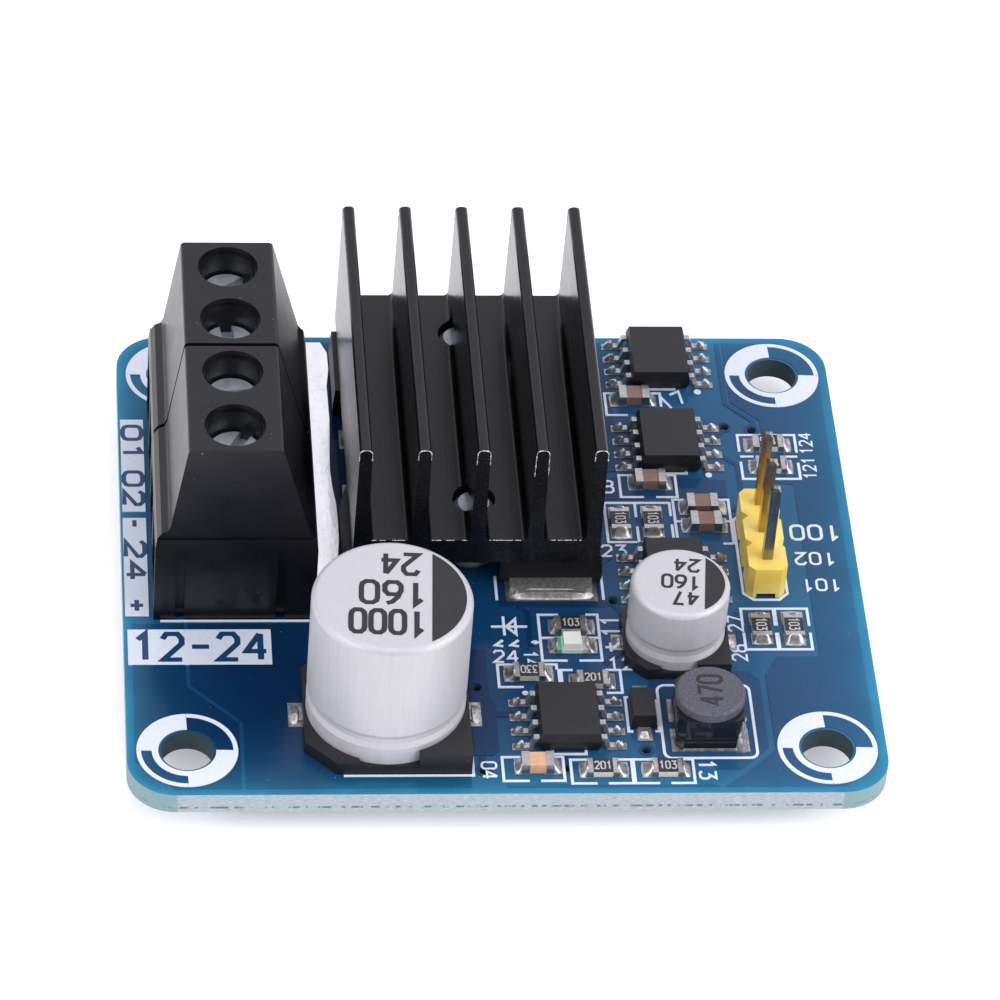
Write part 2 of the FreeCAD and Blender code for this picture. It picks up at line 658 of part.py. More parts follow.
# A two way terminal housing: the section is extruded, then the chambers, wire entries,
# screw wells and slide joints are cut
def make_housing(label, side):
    body = new_body(label)
    pitch = size["terminal_spacing"]
    long = 2 * pitch - size["terminal_joint"]
    left = size["terminal_left"]
    right = size["terminal_right"]
    tall = size["terminal_height"]
    top = size["terminal_top"] / 2
    shoulder = size["shoulder_height"]
    rounding = size["shoulder_round"]
    section = sketch_on(body, "XZ_Plane")
    outline(section, [
        (-left, 0.0),
        (right, 0.0),
        (right, size["rear_height"]),
        (right - size["rear_slope_in"] * 0.3, size["rear_height"] + (size["rear_slope_foot"] - size["rear_height"]) * 0.6),
        (right - size["rear_slope_in"], size["rear_slope_foot"]),
        (top, tall),
        (-top, tall),
        (size["shoulder_width"] - left, size["slope_foot"]),
        (size["shoulder_width"] * 0.85 - left, shoulder + rounding * 1.2),
        (size["shoulder_width"] * 0.4 - left, shoulder + rounding),
        (size["shoulder_width"] * 0.1 - left, shoulder + rounding * 0.6),
        (-left, shoulder),
    ])
    pad(body, section, long, middle=True)
    for sy in (-1, 1):
        step = sketch_on(body, "XZ_Plane", long / 2 * sy)
        rectangle(step, -left - 1, size["end_ledge_height"], right + 1, tall + 1)
        pocket(body, step, size["end_ledge"], back=sy < 0)
    way = size["wire_way"] / 2
    sill = size["wire_sill"]
    entry = sketch_on(body, "YZ_Plane", -left)
    for k in (-0.5, 0.5):
        rectangle(entry, pitch * k - way, sill, pitch * k + way, sill + size["wire_way_height"])
    pocket(body, entry, size["chamber_depth"], back=True)
    chamber = sketch_on(body, "YZ_Plane", size["chamber_wall"] * 2 - left)
    for k in (-0.5, 0.5):
        rectangle(chamber, pitch * k - way, sill, pitch * k + way, size["chamber_height"])
    pocket(body, chamber, size["chamber_depth"] - size["chamber_wall"] * 2, back=True)
    mouth = sketch_on(body, "XY_Plane", tall)
    for k in (-0.5, 0.5):
        circle(mouth, 0.0, pitch * k, size["well"])
    pocket(body, mouth, size["well_lip_depth"])
    well = sketch_on(body, "XY_Plane", tall)
    for k in (-0.5, 0.5):
        circle(well, 0.0, pitch * k, size["well"] - 2 * size["well_lip"])
    pocket(body, well, tall - size["chamber_height"] + 0.1)
    half_pin = size["clamp_pin"] / 2 + size["pin_clearance"]
    pins = sketch_on(body, "XY_Plane")
    for k in (-0.5, 0.5):
        rectangle(pins, -half_pin, pitch * k - half_pin, half_pin, pitch * k + half_pin)
    pocket(body, pins, sill, back=True)
    # the front end has two upright grooves, the rear end two ribs that slide into a neighbour's
    narrow = size["dovetail_width"] / 2
    deep = size["dovetail_depth"]
    groove = sketch_on(body, "XY_Plane")
    for sx in (-1, 1):
        x = size["dovetail_span"] / 2 * sx
        outline(groove, [
            (x - narrow * 0.7, -long / 2 - 0.1),
            (x + narrow * 0.7, -long / 2 - 0.1),
            (x + narrow, deep - long / 2),
            (x - narrow, deep - long / 2),
        ])
    pocket(body, groove, size["dovetail_top"], back=True)
    rib = sketch_on(body, "XY_Plane")
    slack = size["terminal_joint"]
    for sx in (-1, 1):
        x = size["dovetail_span"] / 2 * sx
        outline(rib, [
            (x - narrow * 0.7 + slack, long / 2),
            (x + narrow * 0.7 - slack, long / 2),
            (x + narrow - 2 * slack, long / 2 + deep - slack),
            (x - narrow + 2 * slack, long / 2 + deep - slack),
        ])
    last = pad(body, rib, size["dovetail_top"] - 2 * slack)
    height = float(tall)
    crown = edges_of(last, lambda edge: along(edge, 1) and abs(ends(edge)[0].z - height) < 1e-4)
    dress(body, "Fillet", last, crown, size["terminal_edge"])
    place(body, size["terminal_x"], size["terminal_y"] + pitch * side, board_top)
    nodes.append(body)


# The clamp cage with its solder pin, one for each wire way
def make_clamp(number, k):
    body = new_body("terminal_clamp_%d" % number)
    wide = size["wire_way"] - 2 * size["clamp_gap"]
    deep = size["clamp_depth"] / 2
    wall = size["clamp_wall"]
    tall = size["clamp_height"]
    cage = sketch_on(body, "XY_Plane")
    rectangle(cage, -deep, -wide / 2, deep, wide / 2)
    pad(body, cage, tall)
    window = sketch_on(body, "YZ_Plane", -deep)
    side = size["clamp_cheek"]
    rectangle(window, side - wide / 2, wall, wide / 2 - side, tall - wall * 2)
    pocket(body, window, deep * 2, back=True)
    thread = sketch_on(body, "XY_Plane", tall)
    circle(thread, 0.0, 0.0, size["clamp_screw"] + 2 * size["thread_gap"])
    pocket(body, thread, wall * 3)
    pin = sketch_on(body, "XY_Plane")
    half = size["clamp_pin"] / 2
    rectangle(pin, -half, -half, half, half)
    pad(body, pin, size["wire_sill"] + board_top + size["clamp_pin_below"], back=True)
    y = size["terminal_y"] + size["terminal_spacing"] * k
    place(body, size["terminal_x"], y, board_top + size["wire_sill"])
    nodes.append(body)


# Slotted clamp screws, each stopped at its own angle
def make_clamp_screws():
    screws = []
    head = size["clamp_head"] / 2
    shank = size["clamp_screw"] / 2
    top = board_top + size["terminal_height"] - size["clamp_head_depth"]
    bottom = top - board_top - size["clamp_screw_end"]
    low = size["clamp_head_height"]
    for number, (k, turn) in enumerate(((-1.5, 62), (-0.5, 8), (0.5, 97), (1.5, 38))):
        body = new_body("terminal_screw_%d" % (number + 1))
        revolve(body, [
            (0.0, -bottom),
            (shank * 0.8, -bottom),
            (shank, shank * 0.3 - bottom),
            (shank, -low),
            (head, -low),
            (head, -head * 0.12),
            (head * 0.9, 0.0),
            (0.0, 0.0),
        ])
        slot = sketch_on(body, "XY_Plane")
        half = size["slot_width"] / 2
        rectangle(slot, -head - 0.5, -half, head + 0.5, half)
        pocket(body, slot, size["slot_depth"])
        y = size["terminal_y"] + size["terminal_spacing"] * k
        place(body, size["terminal_x"], y, top, turn)
        screws.append(body)
    nodes.append(group("terminal_screws", screws))


# The pin header: a strip of octagonal ways with square pins
def make_header():
    body = new_body("header_strip")
    count = int(size["header_count"].number)
    pitch = size["header_spacing"]
    half = size["header_width"] / 2
    notch = size["header_notch"]
    start = -pitch * size["header_count"] / 2
    left = []
    right = []
    for k in range(count):
        low = start + pitch * k
        high = low + pitch
        if k == 0:
            right += [(half - notch, low)]
            left += [(notch - half, low)]
        right += [(half, low + notch), (half, high - notch), (half - notch, high)]
        left += [(-half, low + notch), (-half, high - notch), (notch - half, high)]
    strip = sketch_on(body, "XY_Plane")
    outline(strip, right + left[::-1])
    pad(body, strip, size["header_height"])
    holes = sketch_on(body, "XY_Plane")
    pin = size["header_pin"] / 2
    for k in range(count):
        y = start + pitch * (k + 0.5)
        rectangle(holes, -pin, y - pin, pin, y + pin)
    pocket(body, holes, size["header_height"], back=True)
    slot = sketch_on(body, "XZ_Plane")
    wide = size["header_foot_slot"] / 2
    rectangle(slot, -wide, 0.0, wide, size["header_foot_height"])
    pocket(body, slot, pitch * size["header_count"], middle=True)
    place(body, size["header_x"], size["header_y"], board_top)
    nodes.append(body)
    pins = new_body("header_pins")
    square = sketch_on(pins, "XY_Plane", -board_top - size["header_pin_below"])
    rectangle(square, -pin, start + pitch / 2 - pin, pin, start + pitch / 2 + pin)
    tall = size["header_pin_top"] + board_top + size["header_pin_below"]
    rod = pad(pins, square, tall)
    tips = edges_of(rod, lambda edge: not along(edge, 2))
    point = dress(pins, "Chamfer", rod, tips, size["header_pin_point"])
    span = pitch * (size["header_count"] - 1)
    pattern = copies(pins, rod, "Y_Axis", span, size["header_count"])
    pattern.Originals = [rod, point]
    doc.recompute()
    place(pins, size["header_x"], size["header_y"], board_top)
    nodes.append(pins)


# A chip type electrolytic capacitor: beaded can, moulded base with two chamfered corners, flat leads
def make_can(kind, label):
    can = new_body(label + "_can")
    radius = size[kind + "_can"] / 2
    plate = size[kind + "_plate"]
    tall = size[kind + "_height"]
    middle = size[kind + "_groove_height"]
    groove = size["groove_width"] / 2
    dip = size["groove_depth"]
    shoulder = size[kind + "_shoulder"]
    turned = revolve(can, [
        (0.0, plate),
        (radius, plate),
        (radius, middle - groove * 1.6),
        (radius - dip, middle - groove * 0.5),
        (radius - dip, middle + groove * 0.5),
        (radius, middle + groove * 1.6),
        (radius, tall),
        (0.0, tall),
    ])
    height = float(tall)
    rim = edges_of(turned, lambda edge: level_ring(edge, height))
    dress(can, "Fillet", turned, rim, shoulder)
    place(can, size[kind + "_x"], size[kind + "_y"], board_top)
    nodes.append(can)
    base = new_body(label + "_base")
    half = size[kind + "_base"] / 2
    cut = size[kind + "_base_chamfer"]
    post = size[kind + "_post"]
    square = sketch_on(base, "XY_Plane")
    outline(square, [(cut - half, -half), (half, -half), (half, half), (cut - half, half), (-half, half - cut), (-half, cut - half)])
    pad(base, square, post)
    bore = sketch_on(base, "XY_Plane", post)
    circle(bore, 0.0, 0.0, radius * 2 + 2 * size["can_gap"])
    pocket(base, bore, post - plate)
    lower = sketch_on(base, "XY_Plane", post)
    rectangle(lower, -half - 1, -half - 1, half * 0.36, half + 1)
    pocket(base, lower, post - size[kind + "_low_post"])
    walls = sketch_on(base, "XY_Plane", post)
    open_half = half * 0.36
    rectangle(walls, -open_half, -half - 1, open_half, half + 1)
    pocket(base, walls, post - plate)
    lead = size[kind + "_lead"] / 2
    thick = size["can_lead_thickness"]
    inner = half - size["can_lead_in"]
    grooves = sketch_on(base, "XY_Plane")
    rectangle(grooves, -half - 1, -lead, -inner, lead)
    rectangle(grooves, inner, -lead, half + 1, lead)
    pocket(base, grooves, thick, back=True)
    place(base, size[kind + "_x"], size[kind + "_y"], board_top)
    nodes.append(base)
    leads = new_body(label + "_leads")
    flat = sketch_on(leads, "XY_Plane")
    out = half + size[kind + "_lead_out"]
    rectangle(flat, -out, -lead, -inner, lead)
    rectangle(flat, inner, -lead, out, lead)
    pad(leads, flat, thick)
    place(leads, size[kind + "_x"], size[kind + "_y"], board_top)
    nodes.append(leads)


# The power inductor: a ferrite core with a square foot, a neck and a disc, and a wrapped winding
def make_inductor():
    half = size["coil_width"] / 2
    cut = size["coil_chamfer"]
    tin = size["coil_tin"]

    def squarish(sketch, side, corner):
        outline(sketch, [
            (corner - side, -side), (side - corner, -side), (side, corner - side), (side, side - corner),
            (side - corner, side), (corner - side, side), (-side, side - corner), (-side, corner - side),
        ])

    core = new_body("inductor_core")
    foot = sketch_on(core, "XY_Plane", tin)
    squarish(foot, half, cut)
    pad(core, foot, size["coil_foot"] - tin)
    neck = sketch_on(core, "XY_Plane", size["coil_foot"])
    circle(neck, 0.0, 0.0, size["coil_neck"])
    pad(core, neck, size["coil_top"] - size["coil_foot"])
    disc = sketch_on(core, "XY_Plane", size["coil_top"])
    circle(disc, 0.0, 0.0, size["coil_disc"])
    cap = pad(core, disc, size["coil_height"] - size["coil_top"])
    rims = edges_of(cap, lambda edge: level_ring(edge, float(size["coil_height"])))
    dress(core, "Chamfer", cap, rims, size["coil_disc_edge"])
    place(core, size["coil_x"], size["coil_y"], board_top)
    nodes.append(core)
    wrap = new_body("inductor_winding")
    band = sketch_on(wrap, "XY_Plane", size["coil_foot"])
    squarish(band, half - size["coil_wrap_in"], cut)
    circle(band, 0.0, 0.0, size["coil_neck"] + 2 * size["coil_gap"])
    pad(wrap, band, size["coil_top"] - size["coil_foot"])
    place(wrap, size["coil_x"], size["coil_y"], board_top)
    nodes.append(wrap)
    plates = new_body("inductor_terminals")
    flat = sketch_on(plates, "XY_Plane")
    deep = size["coil_tin_depth"]
    rectangle(flat, cut - half, -half, half - cut, deep - half)
    rectangle(flat, cut - half, half - deep, half - cut, half)
    pad(plates, flat, tin)
    place(plates, size["coil_x"], size["coil_y"], board_top)
    nodes.append(plates)


# A small outline chip and its gull wing leads
def make_chip(number):
    name = "chip_%d" % number
    width = size["chip_width"] / 2
    length = size["chip_length"] / 2
    draft = size["chip_top_inset"]
    level = size["chip_lead_level"]
    thick = size["chip_lead_thickness"]
    body = new_body(name + "_body")
    moulded(body, [
        (size["chip_under"], width - draft, length - draft),
        (level, width, length),
        (level + thick, width, length),
        (size["chip_height"], width - draft, length - draft),
    ])
    place(body, size[name + "_x"], size[name + "_y"], board_top)
    nodes.append(body)
    leads = new_body(name + "_leads")
    tip = size["chip_span"] / 2
    foot = size["chip_foot"]
    knee = tip - foot
    span = size["chip_lead_spacing"] * (size["chip_lead_count"] - 1)
    sketch = sketch_on(leads, "XZ_Plane", span / 2)
    for side in (-1, 1):
        outline(sketch, [
            (width * side, level),
            ((knee - thick * 1.3) * side, level),
            (knee * side, 0.0),
            (tip * side, 0.0),
            (tip * side, thick),
            ((knee + thick * 0.8) * side, thick),
            ((knee - thick * 0.5) * side, level + thick),
            (width * side, level + thick),
        ])
    pair = pad(leads, sketch, size["chip_lead"], middle=True)
    copies(leads, pair, "Y_Axis", span, size["chip_lead_count"])
    place(leads, size[name + "_x"], size[name + "_y"], board_top)
    nodes.append(leads)


def make_diode():
    body = new_body("diode_body")
    width = size["diode_width"] / 2
    length = size["diode_length"] / 2
    draft = size["diode_top_inset"]
    thick = size["diode_lead_thickness"]
    tall = size["diode_height"]
    moulded(body, [(0.0, width, length), (tall * 0.5, width, length), (tall, width - draft, length - draft)])
    lead = size["diode_lead"] / 2
    inner = length - size["diode_lead_in"]
    seats = sketch_on(body, "XY_Plane")
    rectangle(seats, -lead, -length - 0.5, lead, -inner)
    rectangle(seats, -lead, inner, lead, length + 0.5)
    pocket(body, seats, thick, back=True)
    place(body, size["diode_x"], size["diode_y"], board_top)
    nodes.append(body)
    leads = new_body("diode_leads")
    out = length + size["diode_lead_out"]
    flat = sketch_on(leads, "XY_Plane")
    rectangle(flat, -lead, -out, lead, -inner)
    rectangle(flat, -lead, inner, lead, out)
    pad(leads, flat, thick)
    place(leads, size["diode_x"], size["diode_y"], board_top)
    nodes.append(leads)


def make_led():
    body = new_body("status_led")
    half = size["led_length"] / 2
    wide = size["led_width"] / 2
    carrier = sketch_on(body, "XY_Plane")
    rectangle(carrier, -half, -wide, half, wide)
    pad(body, carrier, size["led_carrier"])
    lens = size["led_lens"] / 2
    draft = size["led_top_inset"]
    moulded(body, [
        (size["led_carrier"], lens, wide - draft / 2),
        (size["led_height"], lens - draft, wide - draft),
    ])
    place(body, size["led_x"], size["led_y"], board_top)
    nodes.append(body)


# Chip resistors and chip capacitors: a ceramic block with plated ends that stand a little proud
def make_block(label, name, kind, turn):
    body = new_body(label)
    half = size[kind + "_length"] / 2
    wide = size[kind + "_width"] / 2
    tall = size[kind + "_height"]
    end = size[kind + "_end"]
    proud = size[kind + "_plating"]
    core = sketch_on(body, "YZ_Plane")
    rectangle(core, proud - wide, proud, wide - proud, tall - proud)
    pad(body, core, half * 2 - end, middle=True)
    caps = sketch_on(body, "YZ_Plane", -half)
    rectangle(caps, -wide, 0.0, wide, tall)
    first = pad(body, caps, end)
    copies(body, first, "X_Axis", half * 2 - end, 2.0)
    place(body, size[name + "_x"], size[name + "_y"], board_top, turn)
    nodes.append(body)


make_board()
make_sink()
make_thermal_pad()
make_sink_screws()
for number, (side, end) in enumerate(((-1, -1), (1, -1), (-1, 1), (1, 1))):
    make_mosfet(number + 1, side, end)
make_bus()
make_housing("terminal_housing_front", -1)
make_housing("terminal_housing_rear", 1)
for number, k in enumerate((-1.5, -0.5, 0.5, 1.5)):
    make_clamp(number + 1, k)
make_clamp_screws()
make_header()
make_can("big", "large_capacitor")
make_can("small", "small_capacitor")
make_inductor()
for number in range(1, 5):
    make_chip(number)
make_diode()
make_led()
for name, (x, y, turn) in PLACES.items():
    if name.startswith("resistor"):
        make_block(name, name, "resistor", turn)
    if name.startswith("ceramic"):
        make_block("ceramic_capacitor_" + name[-1], name, "ceramic", turn)
doc.recompute()

# Nothing is written unless every object is sound
for item in doc.Objects:
    if "Invalid" in item.State or "Error" in item.State:
        raise RuntimeError("%s is in state %s" % (item.Label, item.State))
for node in nodes:
    if node.Shape.isNull() or not node.Shape.isValid() or not node.Shape.Solids:
        raise RuntimeError(node.Label + " has no sound solid")
os.makedirs("parts", exist_ok=True)
for node in nodes:
    node.Shape.exportStep("parts/%s.step" % node.Label)
    print("%s: %d solids, %.2f cubic mm" % (node.Label, len(node.Shape.Solids), node.Shape.Volume))
print("%d nodes" % len(nodes))
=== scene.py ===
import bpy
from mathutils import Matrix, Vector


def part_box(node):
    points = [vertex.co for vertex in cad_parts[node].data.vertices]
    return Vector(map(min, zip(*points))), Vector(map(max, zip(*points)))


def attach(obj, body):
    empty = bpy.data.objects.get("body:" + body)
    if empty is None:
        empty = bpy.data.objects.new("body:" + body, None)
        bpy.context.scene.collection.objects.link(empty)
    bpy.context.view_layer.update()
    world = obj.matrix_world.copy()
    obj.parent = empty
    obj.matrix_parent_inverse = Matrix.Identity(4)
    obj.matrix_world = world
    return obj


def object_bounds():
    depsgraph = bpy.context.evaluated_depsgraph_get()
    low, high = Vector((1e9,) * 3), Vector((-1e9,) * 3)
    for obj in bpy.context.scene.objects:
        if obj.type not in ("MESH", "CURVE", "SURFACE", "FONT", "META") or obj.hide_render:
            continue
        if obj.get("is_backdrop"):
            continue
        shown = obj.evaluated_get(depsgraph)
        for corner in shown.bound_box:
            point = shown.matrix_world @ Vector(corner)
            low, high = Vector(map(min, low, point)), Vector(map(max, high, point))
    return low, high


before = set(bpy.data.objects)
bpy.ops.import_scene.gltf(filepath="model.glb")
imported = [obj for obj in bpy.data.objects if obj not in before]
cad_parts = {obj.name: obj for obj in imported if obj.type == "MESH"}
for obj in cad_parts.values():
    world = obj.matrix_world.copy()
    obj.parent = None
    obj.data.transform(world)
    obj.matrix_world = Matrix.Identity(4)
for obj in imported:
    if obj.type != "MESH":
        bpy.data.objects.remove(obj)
cad_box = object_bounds()
print("CAD box, metres:", [round(v, 4) for corner in cad_box for v in corner])

# %% Tools
import math

import bpy
import numpy as np
from mathutils import Matrix, Vector

MM = 0.001
BOARD_TOP = 1.5
CORNER = 3.0
CORNER_CENTRE = (20.75, 18.2, 90.0)
print("nodes:", len(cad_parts))

# %% [markdown]
# Every size below is in millimetres, as on a drawing, and a shape is turned to metres only
# when it becomes a mesh. A shape is a pair: an array of points and a list of faces. Many
# small shapes of one material are gathered into one mesh, as a printed layer or a solder
# pass is one thing on the real board.

# %% From arrays to meshes
def gather(shapes):
    """Joins shapes: each one's face numbers are raised by the number of points before it."""
    points, faces, start = [], [], 0
    for spots, rows in shapes:
        points.append(spots)
        faces += [[start + i for i in row] for row in rows]
        start += len(spots)
    return np.concatenate(points), faces


def bands(count, around):
    """The quads between rings of points that lie one after another, each of around points."""
    here = np.arange(around)
    after = (here + 1) % around
    first = np.stack([here, after, around + after, around + here], 1)
    return (first + around * np.arange(count)[:, None, None]).reshape(-1, 4)


def make_piece(name, shapes, finish, smooth_below=35):
    """Puts shapes given in millimetres into one mesh in metres that rides on the module."""
    points, faces = gather(shapes)
    mesh = bpy.data.meshes.new(name)
    mesh.from_pydata((points * MM).tolist(), [], faces)
    mesh.materials.append(finish)
    mesh.shade_smooth()
    mesh.set_sharp_from_angle(angle=math.radians(smooth_below))
    piece = bpy.data.objects.new(name, mesh)
    bpy.context.scene.collection.objects.link(piece)
    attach(piece, "root")
    print(name, "points", len(points), "faces", len(faces))
    return piece


def middle(node):
    """Centre and size of a CAD node in millimetres."""
    low, high = (np.array(corner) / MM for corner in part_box(node))
    return (low + high) / 2, high - low


# %% [markdown]
# Three makers cover most of what a board has. A ribbon is a four cornered profile carried
# along a path, for ink lines and tracks. A mound is a dome on a rounded rectangle that can
# lean towards a lead, which is how molten solder sets. A plate is a flat outline with holes,
# for areas of copper; its filling is left to Blender's curves.

# %% Ribbons
def ribbon(path, width, bottom, top, closed=False):
    """A bar along a flat path. At each corner both edges are pushed out along the bisector
    by half the width over the cosine of half the turn, so mitres meet."""
    path = np.asarray(path, float)
    ahead = np.roll(path, -1, 0) - path
    behind = path - np.roll(path, 1, 0)
    if not closed:
        ahead[-1], behind[0] = behind[-1], ahead[0]
    ahead /= np.linalg.norm(ahead, axis=1)[:, None]
    behind /= np.linalg.norm(behind, axis=1)[:, None]
    side = ahead + behind
    side /= np.linalg.norm(side, axis=1)[:, None]
    reach = (width / 2) / np.maximum((side * ahead).sum(1), 0.35)
    normal = np.stack([-side[:, 1], side[:, 0]], 1) * reach[:, None]
    corners = []
    for sign, height in ((1, bottom), (-1, bottom), (-1, top), (1, top)):
        edge = path + normal * sign
        corners.append(np.column_stack([edge, np.full(len(edge), height)]))
    points = np.stack(corners, 1).reshape(-1, 3)
    count = len(path)
    steps = np.arange(count if closed else count - 1)
    after = (steps + 1) % count
    faces = []
    for k in range(4):
        n = (k + 1) % 4
        faces += np.stack([steps * 4 + k, after * 4 + k, after * 4 + n, steps * 4 + n], 1)[:, ::-1].tolist()
    if not closed:
        last = (count - 1) * 4
        faces += [[3, 2, 1, 0], [last, last + 1, last + 2, last + 3]]
    return points, faces


def arc(x, y, radius, start, end, steps=24):
    """Points on a circle: the centre plus the radius times cosine and sine of the angle."""
    a = np.radians(np.linspace(start, end, steps))
    return np.column_stack([x + radius * np.cos(a), y + radius * np.sin(a)])


def stacked(shapes, step=0.0006):
    """Lifts each flat shape by a little more than the one before, as wet ink does where
    strokes cross, so that no two of them share a plane."""
    return [(points + (0, 0, step * k), faces) for k, (points, faces) in enumerate(shapes)]


print("a ribbon of two points has", len(ribbon([(0, 0), (1, 0)], 0.2, 0, 1)[1]), "faces")


# %% Mounds
def mounds(rows, rings=7, around=28):
    """Domes of solder, all worked out in one array. A row is x, y, bottom, half width, half
    depth, squareness, height, lean x, lean y. Ring r and angle a give a superellipse:
    cosine and sine to the power 2 / squareness, times the half sizes, times r. The height is
    (1 - r^3) times a ramp that rises towards the lean's side."""
    rows = np.asarray(rows, float)
    x, y, low, wide, deep, square, tall, lean_x, lean_y = rows.T[:, :, None, None]
    r = np.linspace(0, 1, rings + 1)[1:][None, :, None]
    a = np.linspace(0, 2 * np.pi, around, endpoint=False)[None, None, :]
    u = np.sign(np.cos(a)) * np.abs(np.cos(a)) ** (2 / square) * r
    v = np.sign(np.sin(a)) * np.abs(np.sin(a)) ** (2 / square) * r
    lean = np.clip((1 + lean_x * u + lean_y * v) / 2, 0, 1)
    power = np.where(np.hypot(lean_x, lean_y) > 0, 1.9, 0.0)
    ripple = 1 + 0.05 * np.sin(3.1 * x + 2.3 * y + 2 * a)
    height = np.where(r < 1, (1 - r ** 3) * (2 * lean) ** power * tall * ripple, 0)
    top = np.stack(np.broadcast_arrays(x + wide * u, y + deep * v, low + height + 0.0 * a), -1)
    count = len(rows)
    top = top.reshape(count, rings * around, 3)
    peak = np.column_stack([rows[:, 0], rows[:, 1], rows[:, 2] + rows[:, 6]])[:, None]
    base = np.column_stack([rows[:, 0], rows[:, 1], rows[:, 2]])[:, None]
    points = np.concatenate([top, peak, base], 1).reshape(-1, 3)
    here = np.arange(around)
    after = (here + 1) % around
    quads = bands(rings - 1, around)[:, [0, 3, 2, 1]]
    crown = np.full(around, rings * around)
    last = (rings - 1) * around
    fans = np.concatenate([
        np.stack([crown, here, after], 1),
        np.stack([crown + 1, last + after, last + here], 1),
    ])
    lift = np.arange(count)[:, None, None] * (rings * around + 2)
    return points, (quads + lift).reshape(-1, 4).tolist() + (fans + lift).reshape(-1, 3).tolist()


print("a mound has", len(mounds([(0, 0, 0, 1, 1, 2, 1, 0, 0)])[1]), "faces")


# %% Turned shapes
def turned(x, y, profile, around=40):
    """A profile of (radius, height) rows spun round an upright line, closed at both poles."""
    profile = np.asarray(profile, float)
    a = np.linspace(0, 2 * np.pi, around, endpoint=False)
    ring = profile[:, 0][:, None]
    heights = profile[:, 1][:, None] + 0 * a
    points = np.stack([x + ring * np.cos(a), y + ring * np.sin(a), heights], -1).reshape(-1, 3)
    here = np.arange(around)
    last = (len(profile) - 1) * around
    quads = bands(len(profile) - 1, around).tolist()
    return points, quads + [here[::-1].tolist(), (last + here).tolist()]


# %% Plates and figures from flat curves
def flat_mesh(curve):
    """Lets Blender fill a flat curve, and gives its points and faces back as a shape."""
    holder = bpy.data.objects.new("holder", curve)
    bpy.context.scene.collection.objects.link(holder)
    bpy.context.view_layer.update()
    mesh = bpy.data.meshes.new_from_object(holder)
    points = np.empty(len(mesh.vertices) * 3)
    mesh.vertices.foreach_get("co", points)
    faces = [list(face.vertices) for face in mesh.polygons]
    bpy.data.objects.remove(holder)
    bpy.data.curves.remove(curve)
    bpy.data.meshes.remove(mesh)
    return points.reshape(-1, 3), faces


def plate(outlines, bottom, top, soft=0.03):
    """An area between closed outlines, with its edges rounded by soft."""
    curve = bpy.data.curves.new("outline", "CURVE")
    curve.dimensions = "2D"
    curve.fill_mode = "BOTH"
    curve.extrude = (top - bottom) / 2 - soft / 2
    curve.bevel_depth = soft / 2
    curve.bevel_resolution = 1
    for outline in outlines:
        spline = curve.splines.new("POLY")
        spline.points.add(len(outline) - 1)
        rows = np.column_stack([np.asarray(outline, float), np.zeros(len(outline)), np.ones(len(outline))])
        spline.points.foreach_set("co", rows.ravel())
        spline.use_cyclic_u = True
    points, faces = flat_mesh(curve)
    points[:, 2] += (bottom + top) / 2
    return points, faces


# strokes of plain figures in a box 0.62 wide and 1 tall, as a board's drawing program has them
STROKES = {
    "0": [[(0.18, 0), (0.44, 0), (0.58, 0.1), (0.62, 0.24), (0.62, 0.76), (0.58, 0.9), (0.44, 1), (0.18, 1),
           (0.04, 0.9), (0, 0.76), (0, 0.24), (0.04, 0.1), (0.18, 0)]],
    "1": [[(0.1, 0.78), (0.34, 1), (0.34, 0)]],
    "2": [[(0, 0.8), (0.13, 1), (0.49, 1), (0.62, 0.82), (0.62, 0.62), (0.02, 0), (0.62, 0)]],
    "3": [[(0, 1), (0.6, 1), (0.3, 0.6), (0.48, 0.6), (0.62, 0.44), (0.62, 0.16), (0.48, 0), (0.12, 0),
           (0, 0.14)]],
    "4": [[(0.46, 0), (0.46, 1)], [(0.44, 1), (0, 0.32), (0.64, 0.32)]],
    "6": [[(0.54, 1), (0.34, 0.94), (0.12, 0.7), (0.03, 0.46)],
          [(0.14, 0.58), (0, 0.42), (0, 0.16), (0.14, 0), (0.48, 0), (0.62, 0.16), (0.62, 0.42),
           (0.48, 0.58), (0.14, 0.58)]],
    "7": [[(0, 1), (0.62, 1), (0.22, 0)]],
    "8": [[(0.14, 0.54), (0, 0.4), (0, 0.14), (0.14, 0), (0.48, 0), (0.62, 0.14), (0.62, 0.4), (0.48, 0.54),
           (0.14, 0.54)],
          [(0.16, 0.54), (0.02, 0.68), (0.02, 0.88), (0.16, 1), (0.46, 1), (0.6, 0.88), (0.6, 0.68),
           (0.46, 0.54)]],
    "+": [[(0, 0.5), (0.6, 0.5)], [(0.3, 0.18), (0.3, 0.82)]],
    "-": [[(0.05, 0.5), (0.6, 0.5)]],
}


def stroked(text, x, y, height, bottom, top, turn=0, weight=0.15, stretch=1.0, below=False):
    """Figures drawn with one pen: each stroke is a ribbon. The row is centred, then turned."""
    a = math.radians(turn)
    spin = np.array([[math.cos(a), math.sin(a)], [-math.sin(a), math.cos(a)]])
    shapes, wide = [], 0.9 * len(text) - 0.28
    for k, figure in enumerate(text):
        for path in STROKES[figure]:
            path = (np.array(path) + (0.9 * k - wide / 2, -0.5)) * (height * stretch, height)
            if below:
                path = path * (-1, 1)
            path = path @ spin + (x, y)
            loop = np.allclose(path[0], path[-1])
            shapes.append(ribbon(path[:-1] if loop else path, weight * height, bottom, top, loop))
    return gather(stacked(shapes))


print("the figure 8 has", len(stroked("8", 0, 0, 1, 0, 0.02)[1]), "faces")

# %% [markdown]
# Finishes. Each one starts from what the real surface is and how it was made. One function
# turns sRGB hex colours to linear ones, one starts a material, and one adds a node with its
# settings and links. The recipes below are made of those: a pattern becomes two tones, a
# roughness or a relief. Patterns are laid out in millimetres on object coordinates, so a
# grain of 0.1 mm has a scale of 10 to the millimetre.

